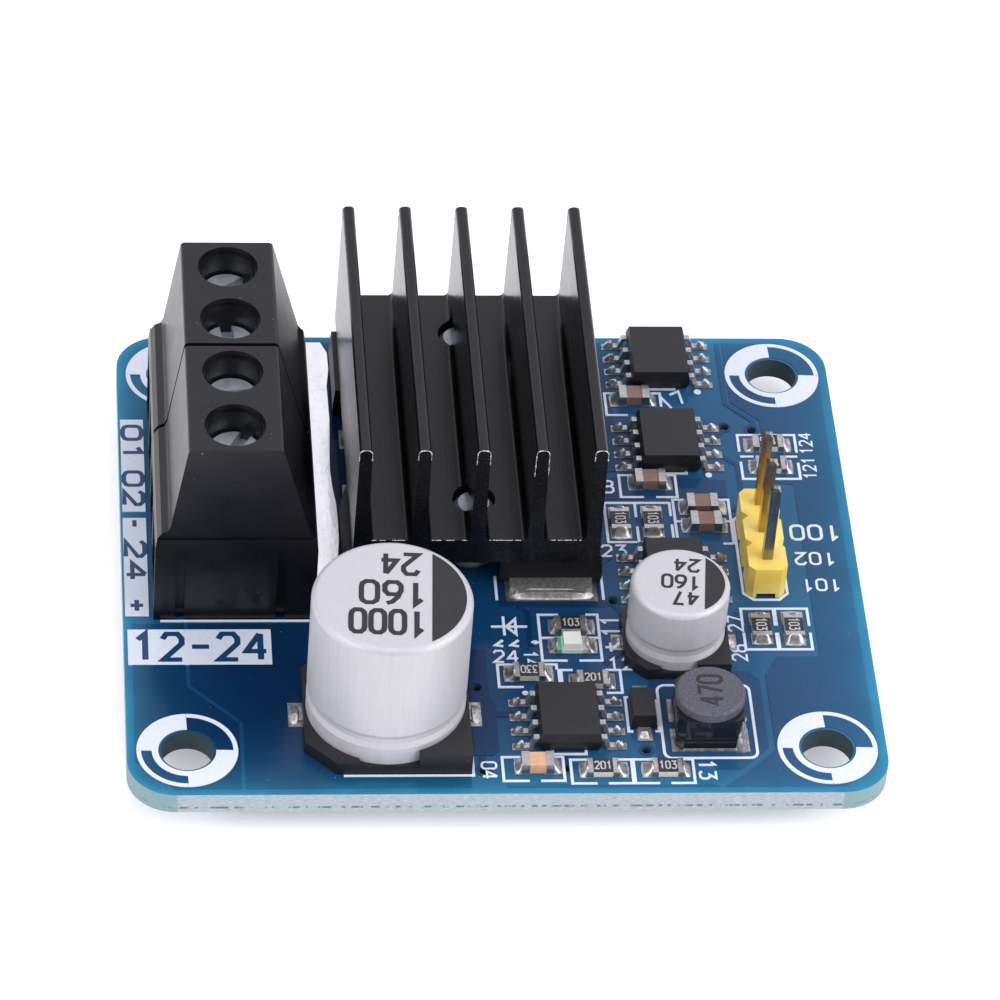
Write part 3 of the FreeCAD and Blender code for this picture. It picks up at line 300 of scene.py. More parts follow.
# %% Colours and nodes
def linear(code):
    """sRGB to linear: value / 12.92 in the toe, else ((value + 0.055) / 1.055)^2.4."""
    s = np.array([int(code[i : i + 2], 16) for i in (1, 3, 5)]) / 255
    return (*np.where(s <= 0.04045, s / 12.92, ((s + 0.055) / 1.055) ** 2.4).tolist(), 1.0)


def start(name, colour="#808080", rough=0.5, metal=0.0, **sockets):
    """A material with one Principled shader. Constants are set on the shader's own sockets."""
    finish = bpy.data.materials.new(name)
    finish.use_nodes = True
    tree = finish.node_tree
    shader = tree.nodes["Principled BSDF"]
    shader.inputs["Base Color"].default_value = linear(colour)
    shader.inputs["Roughness"].default_value = rough
    shader.inputs["Metallic"].default_value = metal
    for socket, value in sockets.items():
        shader.inputs[socket.replace("_", " ")].default_value = value
    return finish, tree, shader


def add(tree, kind, links=None, **settings):
    """Adds a shader node. Settings are its own values, and links give its inputs: a socket
    is joined, and anything else becomes the input's value."""
    node = tree.nodes.new("ShaderNode" + kind)
    for key, value in settings.items():
        setattr(node, key, value)
    for key, value in (links or {}).items():
        if isinstance(value, bpy.types.NodeSocket):
            tree.links.new(value, node.inputs[key])
        else:
            node.inputs[key].default_value = value
    return node


def signal(tree, kind, links=None, **settings):
    """Adds a node and gives back the first output that its settings leave switched on."""
    return next(out for out in add(tree, kind, links, **settings).outputs if out.enabled)


def grain(tree, x=1.0, y=1.0, z=1.0, about=(0, 0, 0), turn=0.0):
    """Object coordinates in millimetres, centred on a point, turned, and stretched."""
    place = add(tree, "TexCoord").outputs["Object"]
    centred = add(tree, "VectorMath", {0: place, 1: tuple(v * MM for v in about)}, operation="SUBTRACT")
    scale = (x / MM, y / MM, z / MM)
    links = {"Vector": centred.outputs[0], "Scale": scale, "Rotation": (0, 0, math.radians(turn))}
    return signal(tree, "Mapping", links)


def two_tone(tree, pattern, low, high, under, over, share=1.0):
    """One colour where the pattern is below low, another where it is above high, covering by
    its share, and a blend between. A colour is a hex code or the socket of an earlier tone."""
    under, over = (linear(colour) if isinstance(colour, str) else colour for colour in (under, over))
    links = {"Value": pattern, "From Min": low, "From Max": high, "To Max": share}
    part = signal(tree, "MapRange", links)
    return signal(tree, "Mix", {0: part, 6: under, 7: over}, data_type="RGBA")


def dull_by(tree, shader, pattern, low, high):
    """Lets the roughness follow a pattern: low where it is 0, high where it is 1."""
    dull = signal(tree, "MapRange", {"Value": pattern, "To Min": low, "To Max": high})
    tree.links.new(dull, shader.inputs["Roughness"])


def relief(tree, shader, height, depth, strength=1.0):
    """Joins a height pattern to the shader's normal; depth is in millimetres."""
    bump = signal(tree, "Bump", {"Height": height, "Distance": depth * MM, "Strength": strength})
    tree.links.new(bump, shader.inputs["Normal"])


print("white is", linear("#ffffff")[:3])


# %% [markdown]
# The board. Real boards are woven glass in epoxy with copper on both faces, under a coat of
# coloured, slightly glossy solder mask. The mask looks dark over copper and lighter and
# greener near the rim, where there is no copper and light comes in through the cut edge.
# That glow is worked out as the distance to the rounded outline. The cut sides show the
# layers of glass as fine pale streaks.

# %% Solder mask over woven glass
def solder_mask(name, over_copper):
    """The mask alone over copper, or the mask with the board's sides and hole walls."""
    finish, tree, shader = start(name, rough=0.15, Specular_IOR_Level=0.22)
    flat = grain(tree)
    away = add(tree, "VectorMath", {0: flat}, operation="ABSOLUTE")
    corner = add(tree, "VectorMath", {0: away.outputs[0], 1: CORNER_CENTRE}, operation="SUBTRACT")
    outside = add(tree, "VectorMath", {0: corner.outputs[0], 1: (0, 0, 0)}, operation="MAXIMUM")
    far = add(tree, "VectorMath", {0: outside.outputs[0]}, operation="LENGTH").outputs["Value"]
    sides = add(tree, "SeparateXYZ", {0: corner.outputs[0]})
    inner = signal(tree, "Math", {0: sides.outputs[0], 1: sides.outputs[1]}, operation="MAXIMUM")
    inner = signal(tree, "Math", {0: inner, 1: 0.0}, operation="MINIMUM")
    # how far out from the corner rounds' centre lines: the cut edge lies at CORNER
    rim = signal(tree, "Math", {0: far, 1: inner}, operation="ADD")
    cloud = signal(tree, "TexNoise", {"Vector": flat, "Scale": 0.22, "Detail": 3.0})
    drift = signal(tree, "Math", {0: cloud, 1: 1.0, 2: -0.5}, operation="MULTIPLY_ADD")
    rim = signal(tree, "Math", {0: rim, 1: drift}, operation="ADD")
    # the glow fades twice: fast beside the cut, then slowly over a few millimetres
    fade = 0.0
    for part, reach in ((0.55, 0.55), (0.45, 2.2 if over_copper else 3.4)):
        depth = signal(tree, "Math", {0: rim, 1: -CORNER}, operation="ADD")
        depth = signal(tree, "Math", {0: depth, 1: reach}, operation="DIVIDE")
        fall = signal(tree, "Math", {0: depth}, operation="EXPONENT")
        fade = signal(tree, "Math", {0: fall, 1: part, 2: fade}, operation="MULTIPLY_ADD")
    glow = signal(tree, "Math", {0: fade, 1: 1.0}, operation="MINIMUM")
    deep, painted_light_right, pale = "#0b3861", "#2b587f", "#2c84a8"
    if over_copper:
        deep, painted_light_right, pale = "#0a2a50", "#254a70", "#24769a"
    # the mask is painted lighter from left to right: a painted light tone for the brighter light and
    # reflection on the board's right side
    across = add(tree, "SeparateXYZ", {0: flat}).outputs[0]
    across = signal(tree, "MapRange", {"Value": across, "From Min": -4.0, "From Max": 22.0},
        interpolation_type="SMOOTHSTEP")
    deep = signal(tree, "Mix", {0: across, 6: linear(deep), 7: linear(painted_light_right)}, data_type="RGBA")
    shade = signal(tree, "Mix", {0: glow, 6: deep, 7: linear(pale)}, data_type="RGBA")
    tone = signal(tree, "MapRange", {"Value": cloud, "To Min": 0.86, "To Max": 1.16})
    shade = signal(tree, "VectorMath", {0: shade, "Scale": tone}, operation="SCALE")
    # dust and pits: a few pale specks about 0.06 mm across
    specks = signal(tree, "TexNoise", {"Vector": flat, "Scale": 7.0, "Detail": 2.0})
    shade = two_tone(tree, specks, 0.745, 0.79, shade, "#7fa3bd")
    # glass cloth, about 0.45 mm a thread, shows through faintly
    cloth = add(tree, "TexChecker", {"Vector": flat, "Scale": 2.2}).outputs["Fac"]
    orange = signal(tree, "TexNoise", {"Vector": flat, "Scale": 2.6, "Detail": 3.0})
    skin = signal(tree, "Math", {0: cloth, 1: 0.06, 2: orange}, operation="MULTIPLY_ADD")
    if over_copper:
        tree.links.new(shade, shader.inputs["Base Color"])
        relief(tree, shader, skin, 0.02, 0.35)
        return finish
    # the sides: layers of glass 0.12 mm thick, drawn out along the cut, with saw nicks
    layers = signal(tree, "TexNoise", {"Vector": grain(tree, 2.6, 2.6, 16.0), "Scale": 1.0, "Detail": 6.0})
    nicks = signal(tree, "TexNoise", {"Vector": grain(tree, 4.0, 4.0, 9.0), "Scale": 1.0, "Detail": 3.0})
    side = two_tone(tree, layers, 0.3, 0.7, "#94a2aa", "#bfc9cd")
    side = two_tone(tree, nicks, 0.62, 0.9, side, "#75868f")
    # where the two saw cuts met there is a broken dark line, 0.4 mm above the underside
    level = add(tree, "SeparateXYZ", {0: flat}).outputs[2]
    level = signal(tree, "Math", {0: level, 1: 0.4}, operation="SUBTRACT")
    level = signal(tree, "Math", {0: level}, operation="ABSOLUTE")
    line = signal(tree, "MapRange",
        {"Value": level, "From Min": 0.04, "From Max": 0.12, "To Min": 0.85, "To Max": 0.0})
    dash = signal(tree, "TexNoise", {"Vector": grain(tree, 1, 1, 0), "Scale": 1.6, "Detail": 2.0})
    dash = signal(tree, "MapRange", {"Value": dash, "From Min": 0.48, "From Max": 0.54})
    line = signal(tree, "Math", {0: line, 1: dash}, operation="MULTIPLY")
    side = signal(tree, "Mix", {0: line, 6: side, 7: linear("#54656d")}, data_type="RGBA")
    # the corners were milled instead of broken off, so clear green resin shows there
    milled = signal(tree, "Math", {0: sides.outputs[0], 1: sides.outputs[1]}, operation="MINIMUM")
    side = two_tone(tree, milled, -0.15, 0.0, side, "#7d9ea2", 0.75)
    # hole walls lie well inside the outline and are painted darker: painted shade inside the deep holes
    side = two_tone(tree, rim, 1.2, 1.6, "#3c4a50", side)
    upright = add(tree, "SeparateXYZ", {0: add(tree, "NewGeometry").outputs["Normal"]}).outputs[2]
    upright = signal(tree, "Math", {0: upright}, operation="ABSOLUTE")
    face = signal(tree, "Math", {0: upright, 1: 0.5}, operation="GREATER_THAN")
    colour = signal(tree, "Mix", {0: face, 6: side, 7: shade}, data_type="RGBA")
    tree.links.new(colour, shader.inputs["Base Color"])
    dull_by(tree, shader, face, 0.75, 0.17)
    rough = signal(tree, "Mix", {0: face, 2: layers, 3: skin})
    deep_cut = signal(tree, "MapRange", {"Value": face, "To Min": 1.0, "To Max": 0.12})
    relief(tree, shader, rough, 0.02, deep_cut)
    return finish


BARE_MASK = solder_mask("solder_mask_on_glass_epoxy", False)
COPPER_MASK = solder_mask("solder_mask_on_copper", True)
print("finishes:", BARE_MASK.name, COPPER_MASK.name)


# %% [markdown]
# Ink, solder and plating. Legend ink is screen printed epoxy: matt, nearly white, a little
# thin at its edges. Solder is bright tin that sets with soft dull patches and a trace of
# brown flux. Tin plated leads are finer grained and a little darker.

# %% Ink
def legend_ink():
    finish, tree, shader = start("screen_printed_ink", rough=0.5)
    wear = signal(tree, "TexNoise", {"Vector": grain(tree), "Scale": 5.0, "Detail": 3.0})
    tone = two_tone(tree, wear, 0.2, 0.42, "#bccbdc", "#dce3f0")
    tree.links.new(tone, shader.inputs["Base Color"])
    relief(tree, shader, wear, 0.01, 0.4)
    return finish


def plain_ink(name, light, dark, size=5.0, rough=0.55):
    """Pad printed ink with a slightly broken tone; size is the speckle's scale to the mm."""
    finish, tree, shader = start(name, rough=rough)
    wear = signal(tree, "TexNoise", {"Vector": grain(tree), "Scale": size, "Detail": 4.0})
    tone = two_tone(tree, wear, 0.3, 0.7, dark, light)
    tree.links.new(tone, shader.inputs["Base Color"])
    return finish


LEGEND = legend_ink()
CAN_INK = plain_ink("grey_black_can_ink", "#211f24", "#18171b", 2.5)
MARK_INK = plain_ink("pale_resistor_ink", "#cfd3d6", "#9fa6aa", 9.0)
FERRITE_INK = plain_ink("black_ferrite_ink", "#26262b", "#1c1c20", 6.0)
FIGURE_BLUE = plain_ink("blue_gaps_in_the_legend", "#17446e", "#113c64", 3.0, 0.3)
print("inks:", LEGEND.name, CAN_INK.name, MARK_INK.name)


# %% Metals
def metal(name, light, dark, rough, stretch=(1, 1, 1), scale=2.0, depth=0.01,
        rough_spread=0.12, flux=0.0, pure=1.0):
    """Tin, zinc, solder and the like: two tones of one metal in patches, with the roughness
    and a shallow relief following the same patches. Flux adds brown stains."""
    finish, tree, shader = start(name, light, rough, pure)
    flow = signal(tree, "TexNoise", {"Vector": grain(tree, *stretch), "Scale": scale, "Detail": 5.0})
    tone = two_tone(tree, flow, 0.35, 0.68, dark, light)
    if flux:
        stain = signal(tree, "TexNoise", {"Vector": grain(tree), "Scale": 1.7, "Detail": 2.0})
        tone = two_tone(tree, stain, 0.52, 0.74, tone, "#6b5a48", flux)
    tree.links.new(tone, shader.inputs["Base Color"])
    dull_by(tree, shader, flow, rough + rough_spread, max(rough - rough_spread, 0.06))
    relief(tree, shader, flow, depth, 0.6)
    return finish


SOLDER = metal("reflowed_tin_solder", "#dededf", "#aaa8a6", 0.3, scale=3.0, depth=0.015, flux=0.4, pure=0.8)
PAD_TIN = metal("tinned_copper_pad", "#c2c2c4", "#8e8c8b", 0.32, scale=3.0, depth=0.02, flux=0.5, pure=0.85)
LEAD_TIN = metal("tin_plated_copper_lead", "#d0cdcb", "#a3a09e", 0.36, scale=4.0, depth=0.01, pure=0.75)
TRACK_TIN = metal("hot_tinned_power_track", "#ffffff", "#f6f7f8", 0.13, (1, 0.3, 1), 0.9, 0.02, 0.05, 0.1)
ZINC = metal("bright_zinc_plated_steel", "#dbe4e9", "#bcc9d0", 0.3, (1, 1, 1), 1.6, 0.01, 0.06, pure=0.55)
CAGE_TIN = metal("tin_plated_brass_cage", "#b9b8b2", "#8a8880", 0.35, scale=2.0)
CUT_ALUMINIUM = metal("freshly_cut_aluminium", "#ffffff", "#b9b9bf", 0.3, (1, 1, 1), 9.0, 0.02, pure=0.5)
print("metals:", SOLDER.name, LEAD_TIN.name, ZINC.name)

# %% [markdown]
# The heatsink is extruded aluminium, black anodised and then sawn to length. Anodising keeps
# the die lines, which run along the bar, so the pattern is stretched along Y. The dye makes
# the metal nearly black, and at a shallow angle it still mirrors a light background.

# %% Black anodised extrusion
def anodised():
    finish, tree, shader = start("black_anodised_aluminium", rough=0.34, Specular_IOR_Level=0.28,
        Coat_Weight=0.22, Coat_Roughness=0.14)
    lines = signal(tree, "TexNoise", {"Vector": grain(tree, 9.0, 0.12, 9.0), "Scale": 1.0, "Detail": 4.0})
    broad = signal(tree, "TexNoise", {"Vector": grain(tree, 1.4, 0.05, 1.4), "Scale": 1.0, "Detail": 2.0})
    both = signal(tree, "Math", {0: lines, 1: broad}, operation="ADD")
    tone = two_tone(tree, both, 0.75, 1.3, "#08080b", "#111115")
    tree.links.new(tone, shader.inputs["Base Color"])
    dull_by(tree, shader, lines, 0.2, 0.36)
    relief(tree, shader, lines, 0.012, 0.7)
    return finish


ANODISED = anodised()
print("finish:", ANODISED.name)

# %% [markdown]
# The black plastics. Terminal housings are moulded with a fine spark eroded grain and pick
# up lint, chip bodies are matt filled epoxy, and capacitor bases are coarser. One recipe
# with three sets of numbers is enough: a dark colour, a grain in millimetres and dust.

# %% Moulded plastics
def moulded(name, dark, light, rough, size, depth, dust=0.0, sheen=0.5):
    """Grain of the given size in mm as relief, two close tones, and pale dust above a threshold."""
    finish, tree, shader = start(name, rough=rough, Specular_IOR_Level=sheen)
    skin = signal(tree, "TexNoise", {"Vector": grain(tree), "Scale": 1 / size, "Detail": 3.0})
    broad = signal(tree, "TexNoise", {"Vector": grain(tree), "Scale": 0.45, "Detail": 2.0})
    tone = two_tone(tree, broad, 0.3, 0.7, dark, light)
    if dust:
        lint = signal(tree, "TexNoise", {"Vector": grain(tree), "Scale": 5.0, "Detail": 1.0})
        tone = two_tone(tree, lint, 0.78, 0.83, tone, "#a9a7a4", dust)
    tree.links.new(tone, shader.inputs["Base Color"])
    dull_by(tree, shader, broad, rough - 0.06, rough + 0.06)
    relief(tree, shader, skin, depth, 0.6)
    return finish


TERMINAL = moulded("moulded_pbt_terminal", "#0b0a10", "#121117", 0.3, 0.12, 0.01, 0.8, 0.42)
EPOXY = moulded("moulded_epoxy_package", "#0f0f13", "#16161a", 0.48, 0.07, 0.012, 0.25)
BASE = moulded("moulded_phenolic_base", "#0f0f13", "#19191d", 0.45, 0.15, 0.02, 0.3)
YELLOW = moulded("moulded_yellow_nylon", "#efc950", "#f9e486", 0.4, 0.5, 0.02)
SHEET = moulded("silicone_heat_sheet", "#8f9296", "#a3a6a9", 0.7, 0.3, 0.02)
SLEEVE = moulded("varnished_winding_sleeve", "#151519", "#1f1f24", 0.16, 0.9, 0.02)
print("plastics:", TERMINAL.name, EPOXY.name, BASE.name, YELLOW.name)

# %% [markdown]
# The capacitor cans are drawn from aluminium with a thin clear coat. Drawing leaves faint
# upright lines on the wall, and handling leaves fine scratches. The ferrite of the coil is
# pressed powder: matt grey with dark pores.

# %% Coated cans and pressed ferrite
def can_wall(name, node):
    """Satin aluminium with upright drawing lines and pale slanted scratches about the can."""
    finish, tree, shader = start(name, "#d7d6dc", 0.4, 0.22)
    centre = middle(node)[0]
    upright = grain(tree, 3.0, 3.0, 0.25, centre)
    drawn = signal(tree, "TexNoise", {"Vector": upright, "Scale": 1.5, "Detail": 4.0})
    slanted = grain(tree, 6.0, 0.5, 1.0, centre, 27)
    scratch = signal(tree, "TexNoise", {"Vector": slanted, "Scale": 1.3, "Detail": 5.0})
    tone = two_tone(tree, drawn, 0.3, 0.7, "#c1c0c4", "#c7c6ca")
    tone = two_tone(tree, scratch, 0.66, 0.72, tone, "#a7a6ad", 0.4)
    tree.links.new(tone, shader.inputs["Base Color"])
    dull_by(tree, shader, drawn, 0.39, 0.43)
    satin = signal(tree, "TexNoise", {"Vector": grain(tree), "Scale": 9.0, "Detail": 3.0})
    relief(tree, shader, satin, 0.008, 0.5)
    return finish


def ferrite():
    finish, tree, shader = start("pressed_ferrite", rough=0.55)
    pores = signal(tree, "TexNoise", {"Vector": grain(tree), "Scale": 7.0, "Detail": 5.0})
    tone = two_tone(tree, pores, 0.35, 0.62, "#42424b", "#595964")
    # below the disc the core is dipped in dark varnish with the winding
    level = add(tree, "SeparateXYZ", {0: grain(tree)}).outputs[2]
    dipped = signal(tree, "MapRange", {"Value": level, "From Min": 3.95, "From Max": 3.85})
    tone = signal(tree, "Mix", {0: dipped, 6: tone, 7: linear("#16161a")}, data_type="RGBA")
    dull_by(tree, shader, dipped, 0.55, 0.16)
    tree.links.new(tone, shader.inputs["Base Color"])
    relief(tree, shader, pores, 0.03, 0.7)
    return finish


FERRITE = ferrite()
BIG_CAN = can_wall("coated_aluminium_can_large", "large_capacitor_can")
SMALL_CAN = can_wall("coated_aluminium_can_small", "small_capacitor_can")
print("finishes:", FERRITE.name, BIG_CAN.name, SMALL_CAN.name)

# %% [markdown]
# Chip resistors and capacitors are fired ceramic blocks with tinned ends. The solid already
# has the ends standing a little proud, so the finish only has to change there: the distance
# from the piece's own middle along its length says whether a point is an end. A resistor is
# white alumina with a black glaze on top, and a capacitor is tan all through.

# %% Ceramic chips
def ceramic_chip(node, end, top_colour, side_colour, rough):
    """The block's own axes tell its tinned ends, end mm long, from its body."""
    centre, size = middle(node)
    along = 0 if size[0] > size[1] else 1
    finish, tree, shader = start("fired_ceramic_" + node, rough=rough)
    place = grain(tree, about=tuple(centre))
    part = add(tree, "SeparateXYZ", {0: place}).outputs[along]
    part = signal(tree, "Math", {0: part}, operation="ABSOLUTE")
    tin = signal(tree, "Math", {0: part, 1: float(size[along]) / 2 - end}, operation="GREATER_THAN")
    upright = add(tree, "SeparateXYZ", {0: add(tree, "NewGeometry").outputs["Normal"]}).outputs[2]
    glaze = signal(tree, "Math", {0: upright, 1: 0.7}, operation="GREATER_THAN")
    cloud = signal(tree, "TexNoise", {"Vector": place, "Scale": 3.0, "Detail": 4.0})
    body = signal(tree, "Mix", {0: glaze, 6: linear(side_colour), 7: linear(top_colour)}, data_type="RGBA")
    tone = signal(tree, "MapRange", {"Value": cloud, "To Min": 0.8, "To Max": 1.2})
    body = signal(tree, "VectorMath", {0: body, "Scale": tone}, operation="SCALE")
    plating = signal(tree, "Mix", {0: cloud, 6: linear("#8f8c8a"), 7: linear("#d8d6d4")}, data_type="RGBA")
    colour = signal(tree, "Mix", {0: tin, 6: body, 7: plating}, data_type="RGBA")
    tree.links.new(colour, shader.inputs["Base Color"])
    tree.links.new(tin, shader.inputs["Metallic"])
    dull_by(tree, shader, tin, rough, 0.3)
    relief(tree, shader, cloud, 0.02, 0.5)
    return finish


print("a resistor is", middle("resistor_01")[1].round(2), "mm")


# %% Gold plated pins and the status light
def gold_pins():
    """Thin gold over nickel: warm low down, paler towards the cut tips, and the front pin,
    which was soldered hottest, has gone grey."""
    finish, tree, shader = start("thin_gold_plating", rough=0.25, metal=1.0)
    place = add(tree, "SeparateXYZ", {0: grain(tree)})
    tip = signal(tree, "MapRange", {"Value": place.outputs[2], "From Min": 7.6, "From Max": 9.4})
    front = signal(tree, "Math", {0: place.outputs[1], 1: -1.4}, operation="LESS_THAN")
    wear = signal(tree, "TexNoise", {"Vector": grain(tree, 3, 3, 0.6), "Scale": 1.5, "Detail": 4.0})
    gold = signal(tree, "Mix", {0: wear, 6: linear("#8f7443"), 7: linear("#cdb27a")}, data_type="RGBA")
    nickel = signal(tree, "Mix", {0: wear, 6: linear("#6f6b68"), 7: linear("#b3b0ac")}, data_type="RGBA")
    grey = signal(tree, "Math", {0: tip, 1: front}, operation="MAXIMUM")
    colour = signal(tree, "Mix", {0: grey, 6: gold, 7: nickel}, data_type="RGBA")
    tree.links.new(colour, shader.inputs["Base Color"])
    relief(tree, shader, wear, 0.01, 0.5)
    return finish


def status_light():
    """A clear resin lens on a white carrier whose left terminal shows green resin."""
    centre = middle("status_led")[0]
    finish, tree, shader = start("clear_resin_lens", rough=0.22, Coat_Weight=0.5, Coat_Roughness=0.08)
    part = add(tree, "SeparateXYZ", {0: grain(tree, about=tuple(centre))}).outputs[0]
    green = signal(tree, "MapRange", {"Value": part, "From Min": -0.62, "From Max": -0.7})
    silver = signal(tree, "MapRange", {"Value": part, "From Min": 0.62, "From Max": 0.7})
    cloud = signal(tree, "TexNoise", {"Vector": grain(tree), "Scale": 2.2, "Detail": 2.0})
    lens = signal(tree, "Mix", {0: cloud, 6: linear("#e4ebe2"), 7: linear("#f6f8f3")}, data_type="RGBA")
    lens = signal(tree, "Mix", {0: green, 6: lens, 7: linear("#5cb58c")}, data_type="RGBA")
    lens = signal(tree, "Mix", {0: silver, 6: lens, 7: linear("#c2c2bd")}, data_type="RGBA")
    tree.links.new(lens, shader.inputs["Base Color"])
    relief(tree, shader, cloud, 0.02, 0.3)
    return finish


GOLD = gold_pins()
LENS = status_light()
print("finishes:", GOLD.name, LENS.name)

# %% [markdown]
# Now each CAD node takes its finish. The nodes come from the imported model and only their
# material slots change.

# %% Dressing the CAD nodes
FINISHES = {
    "board": BARE_MASK, "heatsink": ANODISED, "thermal_pad": SHEET, "sink_screws": ZINC,
    "power_bus_solder": TRACK_TIN, "terminal_housing": TERMINAL, "terminal_clamp": CAGE_TIN,
    "terminal_screws": ZINC, "header_strip": YELLOW, "header_pins": GOLD,
    "large_capacitor_can": BIG_CAN, "small_capacitor_can": SMALL_CAN,
    "large_capacitor_base": BASE, "small_capacitor_base": BASE,
    "large_capacitor_leads": LEAD_TIN, "small_capacitor_leads": LEAD_TIN,
    "inductor_core": FERRITE, "inductor_winding": SLEEVE, "inductor_terminals": SOLDER,
    "diode_body": EPOXY, "diode_leads": LEAD_TIN, "status_led": LENS,
}


def finish_for(node):
    """The finish whose name starts the node's name, or one made for that ceramic chip."""
    if node.startswith("resistor"):
        return ceramic_chip(node, 0.38, "#1f1f23", "#d9d5cc", 0.35)
    if node.startswith("ceramic"):
        tan = "#d8a888" if node.endswith("_1") else "#8b6f66"
        return ceramic_chip(node, 0.48, tan, tan, 0.45)
    if node.startswith(("mosfet", "chip")):
        return LEAD_TIN if node.endswith("leads") else EPOXY
    return next(value for key, value in FINISHES.items() if node.startswith(key))


for node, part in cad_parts.items():
    finish = finish_for(node)
    for place in part.material_slots:
        place.material = finish
print("dressed", len(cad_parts), "nodes")

# %% [markdown]
# Copper under the mask. Etched copper is about 0.035 mm thick, and the mask follows it, so
# its edges catch the light as fine lines. The areas are plates with rounded edges, and every
# drilled hole inside an area keeps its clearance.

# %% Copper areas and tracks, top face
COPPER = 0.04
MOUNTING_HOLES = [(sx * 20.0, sy * 17.4) for sx in (-1, 1) for sy in (-1, 1)]
VIAS = [(16.3, 12.3), (18.1, 12.0), (8.6, -17.5), (3.5, -19.05), (-1.7, -11.95), (-1.7, -19.2), (7.6, -4.2)]
TERMINAL_PINS = [(-17.0, 4.2 + 5 * k) for k in (-1.5, -0.5, 0.5, 1.5)]
HEADER_PINS = [(17.45, -0.11 + 2.54 * k) for k in (-1, 0, 1)]
SINK_SCREWS = [(-1.35, 8.4 + 7.95 * side) for side in (-1, 1)]
CLEARANCES = ((MOUNTING_HOLES, 1.85), (VIAS, 0.4), (TERMINAL_PINS, 1.0), (HEADER_PINS, 0.7),
    (SINK_SCREWS, 1.9))
HOLES = [(x, y, radius) for places, radius in CLEARANCES for x, y in places]


def inside(outline, x, y):
    """Counts how often a line from the point to the right crosses the outline: odd is inside."""
    a = np.asarray(outline, float)
    b = np.roll(a, -1, 0)
    spans = (a[:, 1] > y) != (b[:, 1] > y)
    cross = a[:, 0] + (y - a[:, 1]) * (b[:, 0] - a[:, 0]) / np.where(spans, b[:, 1] - a[:, 1], 1)
    return int((spans & (cross > x)).sum()) % 2 == 1


def copper_area(outline, low, high):
    """A plate of copper with a clearance cut round every hole that lies inside its outline."""
    rims = [arc(x, y, radius, 0, 345) for x, y, radius in HOLES if inside(outline, x, y)]
    return plate([outline] + rims, low, high)


TOP_AREAS = [
    [(-23.2, -6.2), (-19.95, -6.2), (-19.95, -11.75), (-16.75, -15.05), (-16.75, -20.65), (-20.8, -20.65),
     (-23.2, -18.3)],
    [(-19.65, -6.2), (-3.2, -6.2), (-2.5, -8.4), (-2.5, -20.65), (-16.45, -20.65), (-16.45, -14.95),
     (-19.65, -11.65)],
    [(-2.2, -8.6), (-0.95, -8.6), (-0.95, -12.8), (-0.6, -13.2), (-0.6, -17.5), (-1.0, -17.9),
     (-2.2, -17.9)],
    [(9.25, -11.4), (9.9, -10.6), (15.6, -10.6), (16.3, -11.3), (16.3, -17.3), (14.4, -19.2), (13.0, -19.2),
     (12.2, -18.5), (9.25, -18.5)],
    [(16.75, -17.5), (16.75, -10.9), (17.6, -9.3), (20.4, -9.3), (20.4, 6.7), (18.75, 7.0), (18.75, 12.9),
     (16.95, 14.75), (16.95, 20.65), (20.8, 20.65), (23.1, 18.4), (23.1, -18.4), (20.8, -20.65),
     (13.3, -20.65), (14.8, -19.5)],
    [(0.3, -1.9), (0.3, -4.7), (7.0, -4.7), (7.0, -1.0), (7.9, -0.2), (7.9, 0.8), (0.3, 0.8)],
    [(7.95, 5.3), (15.9, 5.55), (15.9, 7.1), (13.6, 7.3), (8.3, 7.3)],
    [(-0.3, -20.65), (12.9, -20.65), (12.4, -20.45), (-0.3, -20.45)],
    [(-11.3, 20.65), (-9.3, 20.65), (-9.3, -5.0), (-11.3, -5.0)],
    [(-9.1, 20.65), (6.4, 20.65), (6.4, 0.95), (-9.1, 0.95)],
    [(6.7, 20.65), (9.0, 20.65), (9.0, 8.0), (6.7, 8.0)],
    [(2.4, -12.4), (5.2, -12.4), (5.2, -17.2), (2.4, -17.2)],
]
TRACKS = [
    ([(16.6, 20.6), (16.6, 14.6), (18.3, 12.85), (18.3, 12.3)], 0.3),
    ([(15.6, 9.75), (16.85, 8.6), (16.85, 5.0), (16.1, 4.2)], 0.3),
    ([(7.6, -4.55), (7.95, -5.1), (7.95, -8.6), (6.6, -9.9)], 0.35),
    ([(-0.6, -14.35), (0.6, -14.35)], 0.45),
    ([(16.3, 12.0), (15.4, 11.1)], 0.3),
    ([(8.6, -17.15), (8.6, -16.4)], 0.4),
    ([(3.5, -18.7), (3.5, -18.2), (2.6, -18.2)], 0.35),
    ([(-1.7, -18.85), (-1.7, -17.95)], 0.4),
    ([(2.0, -8.3), (2.0, -5.2), (1.2, -4.4)], 0.3),
    ([(15.4, -5.3), (15.4, -8.3)], 0.3),
]
copper = [copper_area(outline, BOARD_TOP - 0.01, BOARD_TOP + COPPER) for outline in TOP_AREAS]
copper += [ribbon(path, width, BOARD_TOP, BOARD_TOP + COPPER) for path, width in TRACKS]
copper += [ribbon(arc(x, y, 0.42, 0, 345), 0.14, BOARD_TOP, BOARD_TOP + COPPER, True) for x, y in VIAS]
make_piece("copper_under_mask_top", stacked(copper), COPPER_MASK, 4)

# %% [markdown]
# The legend. Screen printed ink has square ended strokes about 0.18 mm wide. Boxes round the
# chip parts are left open where two neighbours meet, and each mounting hole has a ring with
# two quarter windows. Numbers and plus and minus signs are the only characters.

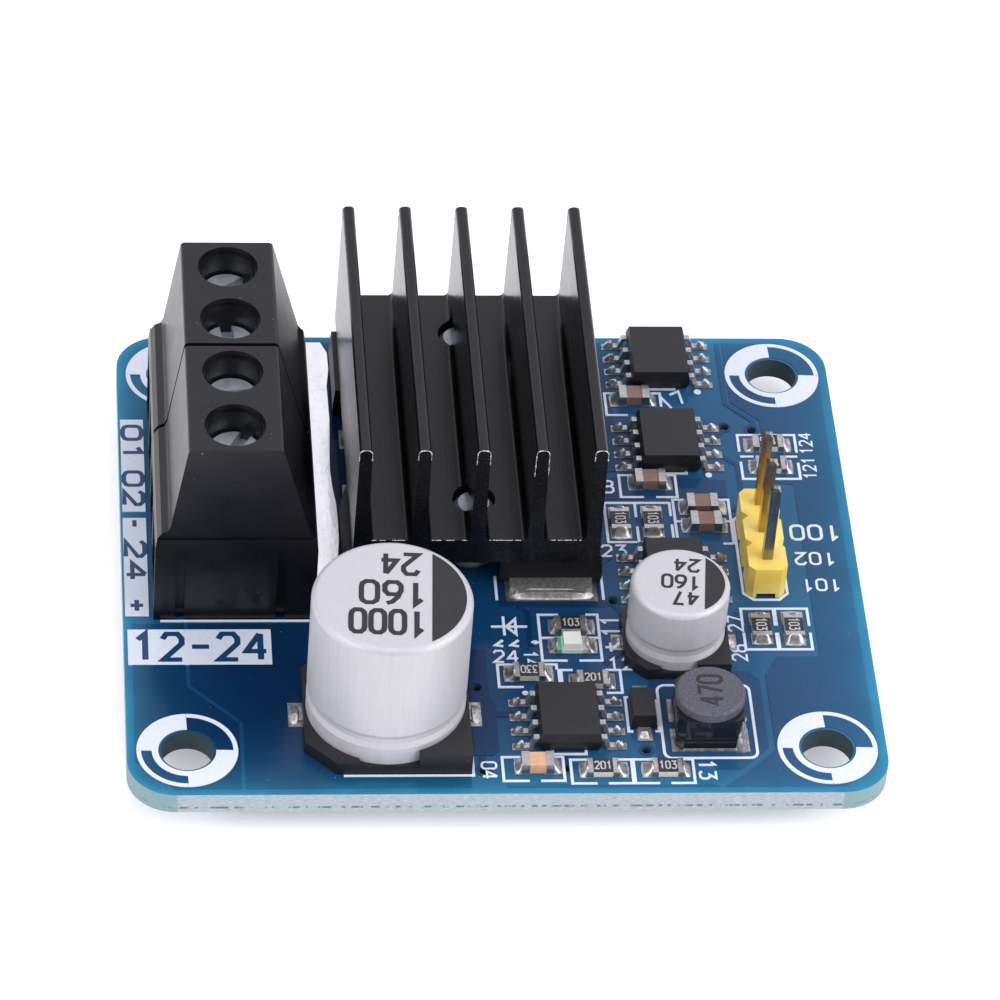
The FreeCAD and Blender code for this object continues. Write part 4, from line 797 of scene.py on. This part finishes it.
# %% Lines and rings of the legend
INK_LOW, INK_HIGH = BOARD_TOP + 0.005, BOARD_TOP + COPPER + 0.018
STROKE = 0.18
LINES = [
    # the box round the light and its resistor
    [(4.25, -9.6), (2.65, -9.6), (2.65, -5.45), (3.95, -5.45)],
    [(5.7, -5.45), (6.45, -5.45), (6.45, -9.6), (5.0, -9.6)],
    [(2.65, -7.55), (3.9, -7.55)], [(5.4, -7.55), (6.45, -7.55)],
    # the light's sign: a line, a bar, a triangle and two arrows
    [(-0.42, -6.52), (1.9, -6.52)], [(0.4, -5.6), (0.4, -7.3)],
    [(0.55, -6.52), (1.15, -5.85), (1.15, -7.2), (0.55, -6.52)],
    [(0.25, -7.75), (-0.25, -8.2), (0.25, -8.3)], [(1.25, -7.75), (0.75, -8.2), (1.25, -8.3)],
    [(6.75, -8.4), (7.45, -8.4)], [(7.1, -8.0), (7.1, -8.8)], [(2.05, -7.95), (2.55, -7.95)],
    # boxes of the two resistors behind the front chip
    [(0.75, -9.95), (-0.25, -9.95), (-0.25, -11.95), (1.3, -11.95)],
    [(2.55, -9.95), (3.5, -9.95), (3.5, -10.4)],
    [(4.5, -10.45), (3.68, -10.45), (3.68, -11.55)],
    [(6.6, -10.45), (7.5, -10.45), (7.5, -12.5), (6.5, -12.5)],
    # diode, chip end marks, coil, capacitors and terminals
    [(7.85, -12.9), (7.62, -12.9), (7.62, -15.9), (7.9, -15.9)],
    [(9.3, -15.9), (9.55, -15.9), (9.55, -13.1)],
    [(2.7, -17.45), (2.7, -17.85), (4.8, -17.85), (4.8, -17.45)],
    [(11.3, 8.1), (11.3, 7.78), (13.4, 7.78), (13.4, 8.1)],
    [(11.3, 16.3), (11.3, 16.02), (13.4, 16.02)], [(-10.4, -19.66), (-2.35, -19.66), (-2.35, -17.9)],
    [(-21.4, -5.95), (-11.9, -5.95)], [(0.12, -1.9), (0.12, -4.1)], [(6.98, -1.9), (6.98, -4.1)],
    # boxes along the front edge
    [(1.1, -20.15), (-0.5, -20.15), (-0.5, -18.1), (0.65, -18.1)],
    [(2.65, -18.1), (3.3, -18.1), (3.3, -20.15), (1.8, -20.15)],
    [(5.3, -20.4), (3.75, -20.4), (3.75, -18.35), (4.85, -18.35)], [(6.5, -18.35), (8.85, -18.35)],
    [(6.0, -20.4), (9.2, -20.4)], [(10.7, -18.35), (11.4, -18.35), (11.4, -20.4), (9.9, -20.4)],
    # the pair right of the coil
    [(15.72, -6.5), (15.72, -4.95), (20.0, -4.95), (20.0, -6.5)],
    [(15.72, -7.15), (15.72, -8.65), (20.0, -8.65), (20.0, -7.15)],
    # chip parts between the sink and the header
    [(9.9, 4.95), (7.72, 4.95), (7.72, 1.25), (9.6, 1.25)], [(9.72, 4.95), (9.72, 3.6)],
    [(9.72, 2.7), (9.72, 1.25)],
    [(9.9, 4.95), (12.0, 4.95), (12.0, 3.7)], [(12.0, 2.9), (12.0, 1.25), (9.9, 1.25)],
    [(13.0, 5.25), (12.25, 5.25), (12.25, 1.1), (13.0, 1.1)],
    [(15.2, 5.25), (15.9, 5.25), (15.9, 1.1), (15.2, 1.1)],
    [(12.25, 3.2), (13.1, 3.2)], [(15.2, 3.2), (15.9, 3.2)],
    [(11.2, 5.5), (12.6, 5.5), (12.6, 7.6), (12.0, 7.6)], [(10.4, 5.5), (8.9, 5.5), (8.9, 7.6), (9.8, 7.6)],
    [(10.0, 13.45), (8.6, 13.45), (8.6, 15.6), (9.4, 15.6)], [(11.6, 15.6), (12.3, 15.6), (12.3, 14.3)],
    # the pair behind the header
    [(18.7, 11.5), (17.1, 11.5), (17.1, 9.9)], [(17.1, 8.9), (17.1, 7.25), (20.9, 7.25), (20.9, 8.8)],
    [(19.4, 11.5), (20.9, 11.5), (20.9, 9.8)], [(17.1, 9.4), (18.0, 9.4)], [(20.1, 9.4), (20.9, 9.4)],
]
THICK = [([(17.86, -4.95), (17.86, -6.5)], 0.28), ([(17.86, -7.15), (17.86, -8.65)], 0.28),
         ([(3.68, -10.45), (3.68, -11.55)], 0.32), ([(7.62, -18.3), (7.62, -20.45)], 0.3)]
CLOSED = [
    [(16.05, -3.55), (16.65, -4.13), (18.3, -4.13), (18.9, -3.55), (18.9, 3.3), (18.3, 3.9), (16.65, 3.9),
     (16.05, 3.3)],
    np.concatenate([arc(15.05, -12.35, 0.5, 0, 90, 7), arc(10.2, -12.35, 0.5, 90, 180, 7),
                    arc(10.2, -17.75, 0.5, 180, 270, 7), arc(15.05, -17.75, 0.5, 270, 360, 7)]),
]
DOTS = [(1.35, -12.5, 0.2), (14.85, 7.62, 0.22), (14.85, 15.75, 0.24), (2.3, -7.95, 0.17)]


def hole_ring(x, y, low, high):
    """A white ring from 1.85 to 3.15 mm with a quarter window cut from its outer part at the
    lower left and from all but its rim at the upper right."""
    quarters = [(1.8, 3.15, 90, 180), (1.8, 3.15, 270, 360), (1.8, 2.2, 180, 270),
        (2.86, 3.15, 180, 270), (2.86, 3.15, 0, 90)]
    return [ribbon(arc(x, y, (a + b) / 2, c, d), b - a, low, high) for a, b, c, d in quarters]


legend = [ribbon(path, STROKE, INK_LOW, INK_HIGH) for path in LINES]
legend += [ribbon(path, width, INK_LOW, INK_HIGH) for path, width in THICK]
legend += [ribbon(path, STROKE, INK_LOW, INK_HIGH, True) for path in CLOSED]
legend += [turned(x, y, [(r, INK_LOW), (r, INK_HIGH)], 20) for x, y, r in DOTS]
for x, y in MOUNTING_HOLES:
    legend += hole_ring(x, y, INK_LOW, INK_HIGH)
make_piece("legend_lines", stacked(legend, 0.0003), LEGEND, 30)

# %% Figures of the legend
FIGURES = [
    ("11", 7.25, -6.5, 1.1, 90), ("24", 0.35, -9.2, 1.0, 0), ("14", 1.9, -9.4, 0.8, -90),
    ("12", 7.6, -9.9, 1.0, 0), ("13", 12.25, -19.25, 1.0, -90), ("04", -1.35, -19.2, 0.9, -90),
    ("8", 8.1, 6.5, 1.1, 0), ("17", 13.1, 14.9, 1.15, 30), ("124", 21.6, 10.7, 0.8, 90),
    ("121", 21.6, 8.3, 0.8, 90), ("27", 15.25, -6.3, 0.9, 90), ("28", 15.25, -8.95, 0.9, 90),
    ("23", 8.0, 0.45, 1.0, 0), ("100", 21.3, 2.15, 1.3, 180), ("102", 21.05, -0.3, 1.05, 180),
    ("101", 21.2, -2.75, 1.0, 180),
]
words = [stroked(text, x, y, tall, INK_LOW, INK_HIGH, turn) for text, x, y, tall, turn in FIGURES]
LEFT_ROW = -22.86
blocks = [([(-23.5, -8.3), (-14.45, -8.3)], 3.15), ([(LEFT_ROW, 12.95), (LEFT_ROW, 4.15)], 1.5),
    ([(LEFT_ROW, 3.55), (LEFT_ROW, -5.5)], 1.5)]
words += [ribbon(path, width, INK_LOW, INK_HIGH) for path, width in blocks]
make_piece("legend_figures", words, LEGEND, 30)
gap_low, gap_high = INK_HIGH - 0.002, INK_HIGH + 0.004
cut = [stroked("12-24", -18.95, -8.28, 2.3, gap_low, gap_high, 0, 0.17, 0.85)]
for text, y, tall, weight, stretch in (("01", 10.75, 1.2, 0.25, 1.7), ("02", 6.35, 1.2, 0.25, 1.7),
        ("-", 3.05, 1.1, 0.26, 1.0), ("24", -0.35, 1.2, 0.25, 1.9), ("+", -4.55, 1.25, 0.24, 1.3)):
    cut.append(stroked(text, LEFT_ROW, y, tall, gap_low, gap_high, -90, weight, stretch))
make_piece("legend_gaps", cut, FIGURE_BLUE, 30)

# %% [markdown]
# Pads and solder. Under each soldered end lies a tinned pad, and the solder climbs from it
# to the part in a hollow slope. The places are read from the CAD nodes' own boxes, so the
# joints stay with their parts.

# %% Joints of the chip parts
PAD_LOW, PAD_HIGH = BOARD_TOP, BOARD_TOP + 0.055
CHIP_PARTS = [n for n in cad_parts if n.startswith(("resistor", "ceramic", "status"))]
pads, joints = [], []


def pad(start, end, width):
    pads.append(ribbon([start, end], width, PAD_LOW, PAD_HIGH))


def joint(x, y, wide, deep, square, tall, lean_x=0, lean_y=0):
    joints.append((x, y, PAD_HIGH - 0.01, wide, deep, square, tall, lean_x, lean_y))


for number, node in enumerate(sorted(CHIP_PARTS)):
    centre, size = middle(node)
    along = np.array([1.0, 0.0]) if size[0] > size[1] else np.array([0.0, 1.0])
    across = along[::-1]
    length, width = max(size[:2]), min(size[:2])
    for side in (-1, 1):
        reach = 0.5 + 0.1 * math.sin(number * 2.4 + side)
        end = centre[:2] + along * side * length / 2
        spot = end + along * side * (reach / 2 - 0.3)
        half = along * (reach / 2 + 0.3) + across * (width / 2 + 0.06)
        pad(spot - along * half, spot + along * half, 2 * (across @ half))
        heart = end + along * side * reach * 0.35
        lean = -along * side
        spread = along * (reach * 0.72) + across * (width / 2 + 0.01)
        climb = min(size[2] * 0.62, 0.34)
        joint(*heart, *spread, 3.4, climb, *(lean * 0.95))
print("chip part joints:", len(joints))

# %% Joints of the chips, the transistors, the cans and the diode
for number in (1, 2, 3, 4):
    centre = middle("chip_%d_leads" % number)[0]
    for side in (-1, 1):
        for k in (-1.5, -0.5, 0.5, 1.5):
            x, y = centre[0] + side * 2.92, centre[1] + 1.27 * k
            pad((x - 0.66, y), (x + 0.66, y), 0.6)
            joint(x + side * 0.24, y, 0.4, 0.27, 2.2, 0.46, -0.3 * side)
for number in (1, 2, 3, 4):
    centre, size = middle("mosfet_%d_leads" % number)
    out = -1 if number < 3 else 1
    tab_end = centre[1] + out * size[1] / 2
    lead_end = centre[1] - out * size[1] / 2
    pad((centre[0] - 2.95, tab_end - out * 1.2), (centre[0] + 2.95, tab_end - out * 1.2), 3.4)
    joint(centre[0], tab_end + out * 0.05, 2.8, 0.42, 5.0, 0.3, 0, -0.9 * out)
    for side in (-1, 1):
        x = centre[0] + side * 2.29
        pad((x, lead_end + out * 1.3), (x, lead_end - out * 0.5), 1.3)
        joint(x, lead_end + out * 0.35, 0.6, 0.8, 3.0, 0.42)
for node, deep, out in (("large_capacitor_leads", 1.05, 0.35), ("small_capacitor_leads", 0.7, 0.3)):
    centre, size = middle(node)
    for side in (-1, 1):
        end = centre[0] + side * size[0] / 2
        pad((end - side * 1.2, centre[1]), (end + side * out, centre[1]), 2 * deep)
        joint(end - side * 0.05, centre[1], 0.36, deep * 0.8, 3.0, 0.2, -0.4 * side)
centre, size = middle("diode_leads")
for side in (-1, 1):
    y = centre[1] + side * size[1] / 2
    pad((centre[0], y - side * 0.6), (centre[0], y + side * 0.6), 0.95)
    joint(centre[0], y + side * 0.12, 0.42, 0.4, 3.0, 0.17, 0, -0.5 * side)
print("joints so far:", len(joints), "pads:", len(pads))

# %% Joints of the coil
centre, size = middle("inductor_core")
left, right = centre[0] - size[0] / 2, centre[0] + size[0] / 2
for side in (-1, 1):
    y = centre[1] + side * 1.3
    pad((left - 0.15, y), (right + 0.35, y), 2.0)
edge = centre[1] - size[1] / 2
chance = np.random.default_rng(3)
for k in range(30):
    along = chance.uniform(0, 1) ** 1.5
    spread = chance.uniform(0.16, 0.36)
    climb = chance.uniform(0.3, 2.3) * (1 - 0.75 * along)
    x = right - 0.32 + 0.55 * chance.uniform(0, 1) * (1 - 0.3 * climb)
    joint(x, edge + 0.12 + 2.8 * along, spread, spread, 2.1, climb, -0.4, 0.2)
make_piece("tinned_pads", stacked(pads, 0.0002), PAD_TIN, 30)
make_piece("solder_joints_top", [mounds(joints)], SOLDER, 60)

# %% [markdown]
# Small marks on the parts. Resistor values are plain numbers, the cans carry their values
# upside down beside a dark segment that marks the minus side, and the coil has its value on
# the disc. Chips get only the moulded dimple by their first lead.

# %% Resistor and coil figures
MARKS = [("103", 0), ("330", 180), ("201", 0), ("201", 0), ("103", 0)]
MARKS += [("103", -90)] * 4 + [("103", 180)] * 2
marks = []
for number, (text, turn) in enumerate(MARKS, 1):
    centre, size = middle("resistor_%02d" % number)
    top = centre[2] + size[2] / 2
    marks.append(stroked(text, centre[0], centre[1], 0.62, top - 0.004, top + 0.004, turn, 0.15, 0.68))
make_piece("resistor_figures", marks, MARK_INK, 30)
centre, size = middle("inductor_core")
top = centre[2] + size[2] / 2
coil_mark = stroked("470", centre[0], centre[1], 1.45, top - 0.004, top + 0.008, 90, 0.16, 0.72)
make_piece("coil_figures", [coil_mark], FERRITE_INK, 30)


# %% Can tops
def dark_segment(radius, chord, low, high):
    """The part of a disc right of an upright chord: an arc between the two angles whose
    cosine is the chord's place over the radius, closed by the chord."""
    half = math.degrees(math.acos(chord / radius))
    return plate([arc(0, 0, radius, -half, half, 48)], low, high, 0.002)


# for each can: the chord's place, the print's lean in degrees, its margin at the rim, and rows
# of text, place, height and stretch
CAN_PRINTS = {
    "large_capacitor_can": (2.42, 3.4, 0.45, [
        ("1000", -0.3, -2.27, 1.93, 0.7), ("160", 0.0, 0.29, 1.86, 0.86), ("24", 0.43, 2.85, 1.75, 0.85)]),
    "small_capacitor_can": (1.54, 6, 0.35, [
        ("47", 0.34, -1.45, 1.12, 0.83), ("160", 0.0, 0.02, 1.1, 0.86), ("24", 0.36, 1.55, 1.05, 0.97)]),
}
prints = []
for node, (chord, lean, margin, rows) in CAN_PRINTS.items():
    centre, size = middle(node)
    top = centre[2] + size[2] / 2
    low, high = top - 0.01, top + 0.02
    rim = size[0] / 2 - margin
    # the can sits turned a little clockwise on its base, so its print does too
    a = math.radians(lean)
    spin = np.array([[math.cos(a), -math.sin(a)], [math.sin(a), math.cos(a)]])
    disc, faces = dark_segment(rim, chord, low, high)
    disc[:, :2] = disc[:, :2] @ spin + centre[:2]
    prints.append((disc, faces))
    for text, dx, dy, tall, stretch in rows:
        x, y = np.array([dx, dy]) @ spin + centre[:2]
        prints.append(stroked(text, x, y, tall, low, high, 180 - lean, 0.175, stretch))
make_piece("can_prints", prints, CAN_INK, 30)

# %% [markdown]
# Underside. Leads that pass through the board end in cones of solder, and the faces have
# their own copper, rings and outlines. The camera doesn't see this side, but it is finished
# like the top.

# %% Joints below
def cone(x, y, wide, tip, depth):
    """Solder hanging round a pin: the radius falls from wide to tip with the square of the height."""
    t = np.linspace(0, 1, 9)
    radius = tip + (wide - tip) * (1 - t) ** 2.2
    radius[0] = wide
    profile = np.column_stack([radius, -depth * t])
    return turned(x, y, profile[::-1], 32)


below = [cone(x, y, 1.35, 0.55, 1.25) for x, y in TERMINAL_PINS]
below += [cone(x, y, 0.85, 0.4, 1.0) for x, y in HEADER_PINS]
make_piece("solder_joints_below", below, SOLDER, 40)

# %% Copper and legend below
BELOW_AREAS = [
    [(-23.0, 14.6), (-11.6, 14.6), (-11.6, 4.7), (-23.0, 4.7)],
    [(-23.0, 3.7), (-11.6, 3.7), (-11.6, -6.3), (-23.0, -6.3)],
    [(-11.0, 20.6), (8.0, 20.6), (8.0, 9.0), (-11.0, 9.0)],
    [(-11.0, 8.2), (8.0, 8.2), (8.0, -4.8), (-11.0, -4.8)],
    [(9.0, 20.6), (20.6, 20.6), (22.9, 18.4), (22.9, 5.0), (9.0, 5.0)],
    [(9.0, 4.3), (22.9, 4.3), (22.9, -18.4), (20.6, -20.6), (9.0, -20.6)],
    [(-20.6, -20.6), (8.2, -20.6), (8.2, -6.9), (-23.0, -6.9), (-23.0, -18.3)],
]
copper = [copper_area(outline, -COPPER, 0.01) for outline in BELOW_AREAS]
make_piece("copper_under_mask_below", copper, COPPER_MASK, 4)
UNDER_LOW, UNDER_HIGH = -COPPER - 0.018, -0.005
legend = []
for x, y in MOUNTING_HOLES:
    legend += hole_ring(x, y, UNDER_LOW, UNDER_HIGH)
for path in ([(-21.9, -5.8), (-11.6, -5.8), (-11.6, 14.2), (-21.9, 14.2)],
        [(16.1, -4.0), (18.8, -4.0), (18.8, 3.8), (16.1, 3.8)]):
    legend.append(ribbon(path, 0.2, UNDER_LOW, UNDER_HIGH, True))
numbered = [(str(k + 1), -19.6, 11.7 - 5 * k, 1.4) for k in range(4)] + [("1", 20.0, -2.6, 1.2)]
for text, x, y, tall in numbered:
    legend.append(stroked(text, x, y, tall, UNDER_LOW, UNDER_HIGH, 0, 0.15, 1.0, True))
make_piece("legend_below", stacked(legend, -0.0003), LEGEND, 30)

# %% [markdown]
# The saw leaves a bright burr on the cut ends of the anodised bar. It is a thin uneven bead
# carried along the outline of each fin's tip, and along the floor's front corner.

# %% Bright burrs on the sink
def bead(path, radius, around=8):
    """A round profile carried along a path in space, with both ends drawn in to close it.
    The radius swells and shrinks with two sines of the distance."""
    path = np.asarray(path, float)
    run = np.gradient(path, axis=0)
    run /= np.linalg.norm(run, axis=1)[:, None]
    side = np.cross(run, (0.0, 1.0, 0.0))
    side /= np.maximum(np.linalg.norm(side, axis=1), 1e-9)[:, None]
    rise = np.cross(side, run)
    way = np.concatenate([[0], np.cumsum(np.linalg.norm(np.diff(path, axis=0), axis=1))])
    size = radius * (1 + 0.45 * np.sin(way * 9.0) + 0.3 * np.sin(way * 23.0 + 1))
    size[0] = size[-1] = radius * 0.1
    a = np.linspace(0, 2 * np.pi, around, endpoint=False)
    points = path[:, None] + size[:, None, None] * (
        side[:, None] * np.cos(a)[None, :, None] + rise[:, None] * np.sin(a)[None, :, None]
    )
    here = np.arange(around)
    last = (len(path) - 1) * around
    quads = bands(len(path) - 1, around)[:, ::-1].tolist()
    return points.reshape(-1, 3), quads + [here.tolist(), (last + here)[::-1].tolist()]


def fin_outline(x, y, half, top, drop, steps=26):
    """Up one side of a fin, over its rounded tip and down the other side."""
    corner, fin_tall = 0.3, 7.7
    a = np.radians(np.linspace(10, 90, 6))
    # the fin is 0.1 mm wider on each side at its root
    left = np.column_stack([np.linspace(-half - 0.1 * drop / fin_tall, -half, steps),
        np.linspace(top - drop, top - corner, steps)])
    over = np.column_stack([-(half - corner) - corner * np.cos(a), top - corner + corner * np.sin(a)])
    half_way = np.concatenate([left, over])
    rows = np.concatenate([half_way, half_way[::-1] * (-1, 1)])
    return np.column_stack([x + rows[:, 0], np.full(len(rows), y), rows[:, 1]])


low, high = (np.array(corner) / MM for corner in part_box("heatsink"))
half_fin, channel_floor = 0.49, 6.14
spacing = (high[0] - low[0] - 2 * half_fin) / 4
burrs = []
for k in range(5):
    x = low[0] + half_fin + spacing * k
    drop = (0.9, 0.8, 1.2, 2.2, 0.9)[k]
    burrs.append(bead(fin_outline(x, low[1] + 0.005, 0.4, high[2], drop), 0.026))
    burrs.append(bead(fin_outline(x, high[1] - 0.005, 0.39, high[2], 1.2), 0.018))
chance = np.random.default_rng(7)
for k in range(4):
    x = low[0] + half_fin + spacing * (k + 0.5)
    for place in chance.uniform(-1.05, 1.05, 9):
        reach = chance.uniform(0.06, 0.3)
        spots = np.column_stack([np.linspace(x + place - reach, x + place + reach, 6),
            np.full(6, low[1] + 0.01), np.full(6, channel_floor)])
        burrs.append(bead(spots, 0.02))
make_piece("saw_burrs_on_fins", burrs, CUT_ALUMINIUM, 60)

# %% [markdown]
# The room: a pale floor, a surround that is white behind the part and dark on the camera's
# side for shiny faces to mirror, broad soft lamps high on the left and right, and a weaker
# one above. The lamps are plain, so colours come out about as written.

# %% Floor and surround
def floor_finish():
    """Pale paper that the camera and mirrors see as white where no shadow falls."""
    finish, tree, shader = start("pale_paper_floor", "#f4f4f4", 0.8)
    out = tree.nodes["Material Output"]
    path = add(tree, "LightPath")
    seen = signal(tree, "Math", {0: path.outputs["Is Camera Ray"], 1: path.outputs["Is Glossy Ray"]},
        operation="MAXIMUM")
    seen = signal(tree, "Math", {0: seen, 1: path.outputs["Is Transmission Ray"]}, operation="MAXIMUM")
    share = signal(tree, "Math", {0: seen, 1: 0.32}, operation="MULTIPLY")
    both = add(tree, "AddShader", {0: shader.outputs[0],
        1: signal(tree, "Emission", {"Color": (1, 1, 1, 1), "Strength": share})})
    tree.links.new(both.outputs[0], out.inputs["Surface"])
    return finish


mesh = bpy.data.meshes.new("floor")
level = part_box("terminal_clamp_1")[0][2] - 0.00001
reach = 1.2
corners = [(a * reach, b * reach, level) for a, b in ((-1, -1), (1, -1), (1, 1), (-1, 1))]
mesh.from_pydata(corners, [], [(0, 1, 2, 3)])
mesh.materials.append(floor_finish())
floor = bpy.data.objects.new("floor", mesh)
bpy.context.scene.collection.objects.link(floor)
floor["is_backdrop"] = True

world = bpy.data.worlds.new("studio_surround")
bpy.context.scene.world = world
world.use_nodes = True
tree = world.node_tree
path = add(tree, "LightPath")
# mirrors see white behind the part and a dark room on the camera's side
toward = add(tree, "SeparateXYZ", {0: add(tree, "TexCoord").outputs["Generated"]}).outputs[1]
links = {"Value": toward, "From Min": -0.7, "From Max": 0.1, "To Min": 0.15, "To Max": 1.0}
room = signal(tree, "MapRange", links, interpolation_type="SMOOTHSTEP")
mirror = path.outputs["Is Glossy Ray"]
lit = signal(tree, "Mix", {0: mirror, 2: 0.68, 3: room})
direct = signal(tree, "Math", {0: path.outputs["Is Camera Ray"], 1: path.outputs["Is Transmission Ray"]},
    operation="MAXIMUM")
power = signal(tree, "Mix", {0: direct, 2: lit, 3: 1.0})
tint = signal(tree, "Mix", {0: direct, 6: linear("#f6f4ff"), 7: (1, 1, 1, 1)}, data_type="RGBA")
tree.links.new(tint, tree.nodes["Background"].inputs["Color"])
tree.links.new(power, tree.nodes["Background"].inputs["Strength"])
print("floor at", round(level / MM, 3), "mm")


# %% Lamps
def soft_lamp(name, place, watts, size):
    """A square lamp of the given size in metres that faces the middle of the board."""
    lamp = bpy.data.lights.new(name, "AREA")
    lamp.energy = watts
    lamp.size = size
    holder = bpy.data.objects.new(name, lamp)
    holder.location = place
    holder.rotation_euler = (-Vector(place)).to_track_quat("-Z", "Y").to_euler()
    bpy.context.scene.collection.objects.link(holder)


soft_lamp("left_lamp", (-0.45, -0.25, 0.38), 1.9, 0.5)
soft_lamp("right_lamp", (0.48, -0.24, 0.34), 2.5, 0.5)
soft_lamp("top_lamp", (0.05, 0.1, 0.7), 0.9, 0.6)
print("lamps:", len(bpy.data.lights))

# %% [markdown]
# The camera stands where the photograph was taken: worked out from the board's corners and
# holes in the picture, about 0.37 m away with a long lens, looking down at 43 degrees. Its
# axes come from a yaw, a pitch and a small roll.

# %% Camera
SENSOR = 36.0
FOCAL_PIXELS, PICTURE_PIXELS = 5699.74, 1000
CAMERA_PLACE = (-32.88, -264.16, 254.44)
yaw, pitch, roll = 0.1249, 0.7499, -0.0852
forward = np.array([math.sin(yaw) * math.cos(pitch), math.cos(yaw) * math.cos(pitch), -math.sin(pitch)])
level_right = np.array([math.cos(yaw), -math.sin(yaw), 0.0])
down = np.cross(forward, level_right)
right = math.cos(roll) * level_right + math.sin(roll) * down
down = math.cos(roll) * down - math.sin(roll) * level_right
lens = bpy.data.cameras.new("camera")
lens.sensor_width = SENSOR
lens.sensor_fit = "HORIZONTAL"
lens.lens = FOCAL_PIXELS / PICTURE_PIXELS * SENSOR
lens.clip_start, lens.clip_end = 0.01, 20.0
camera = bpy.data.objects.new("camera", lens)
turn = Matrix([[right[i], -down[i], -forward[i]] for i in range(3)])
camera.matrix_world = Matrix.Translation(Vector(CAMERA_PLACE) * MM) @ turn.to_4x4()
bpy.context.scene.collection.objects.link(camera)
bpy.context.scene.camera = camera
bpy.context.scene.view_settings.view_transform = "Standard"
print("lens", round(lens.lens, 1), "mm")

# %% Sizes and finish
visual_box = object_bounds()
rows = {"cad": [list(map(float, corner)) for corner in cad_box],
    "visual": [list(map(float, corner)) for corner in visual_box]}
print("visual box, metres:", [round(v, 5) for corner in visual_box for v in corner])
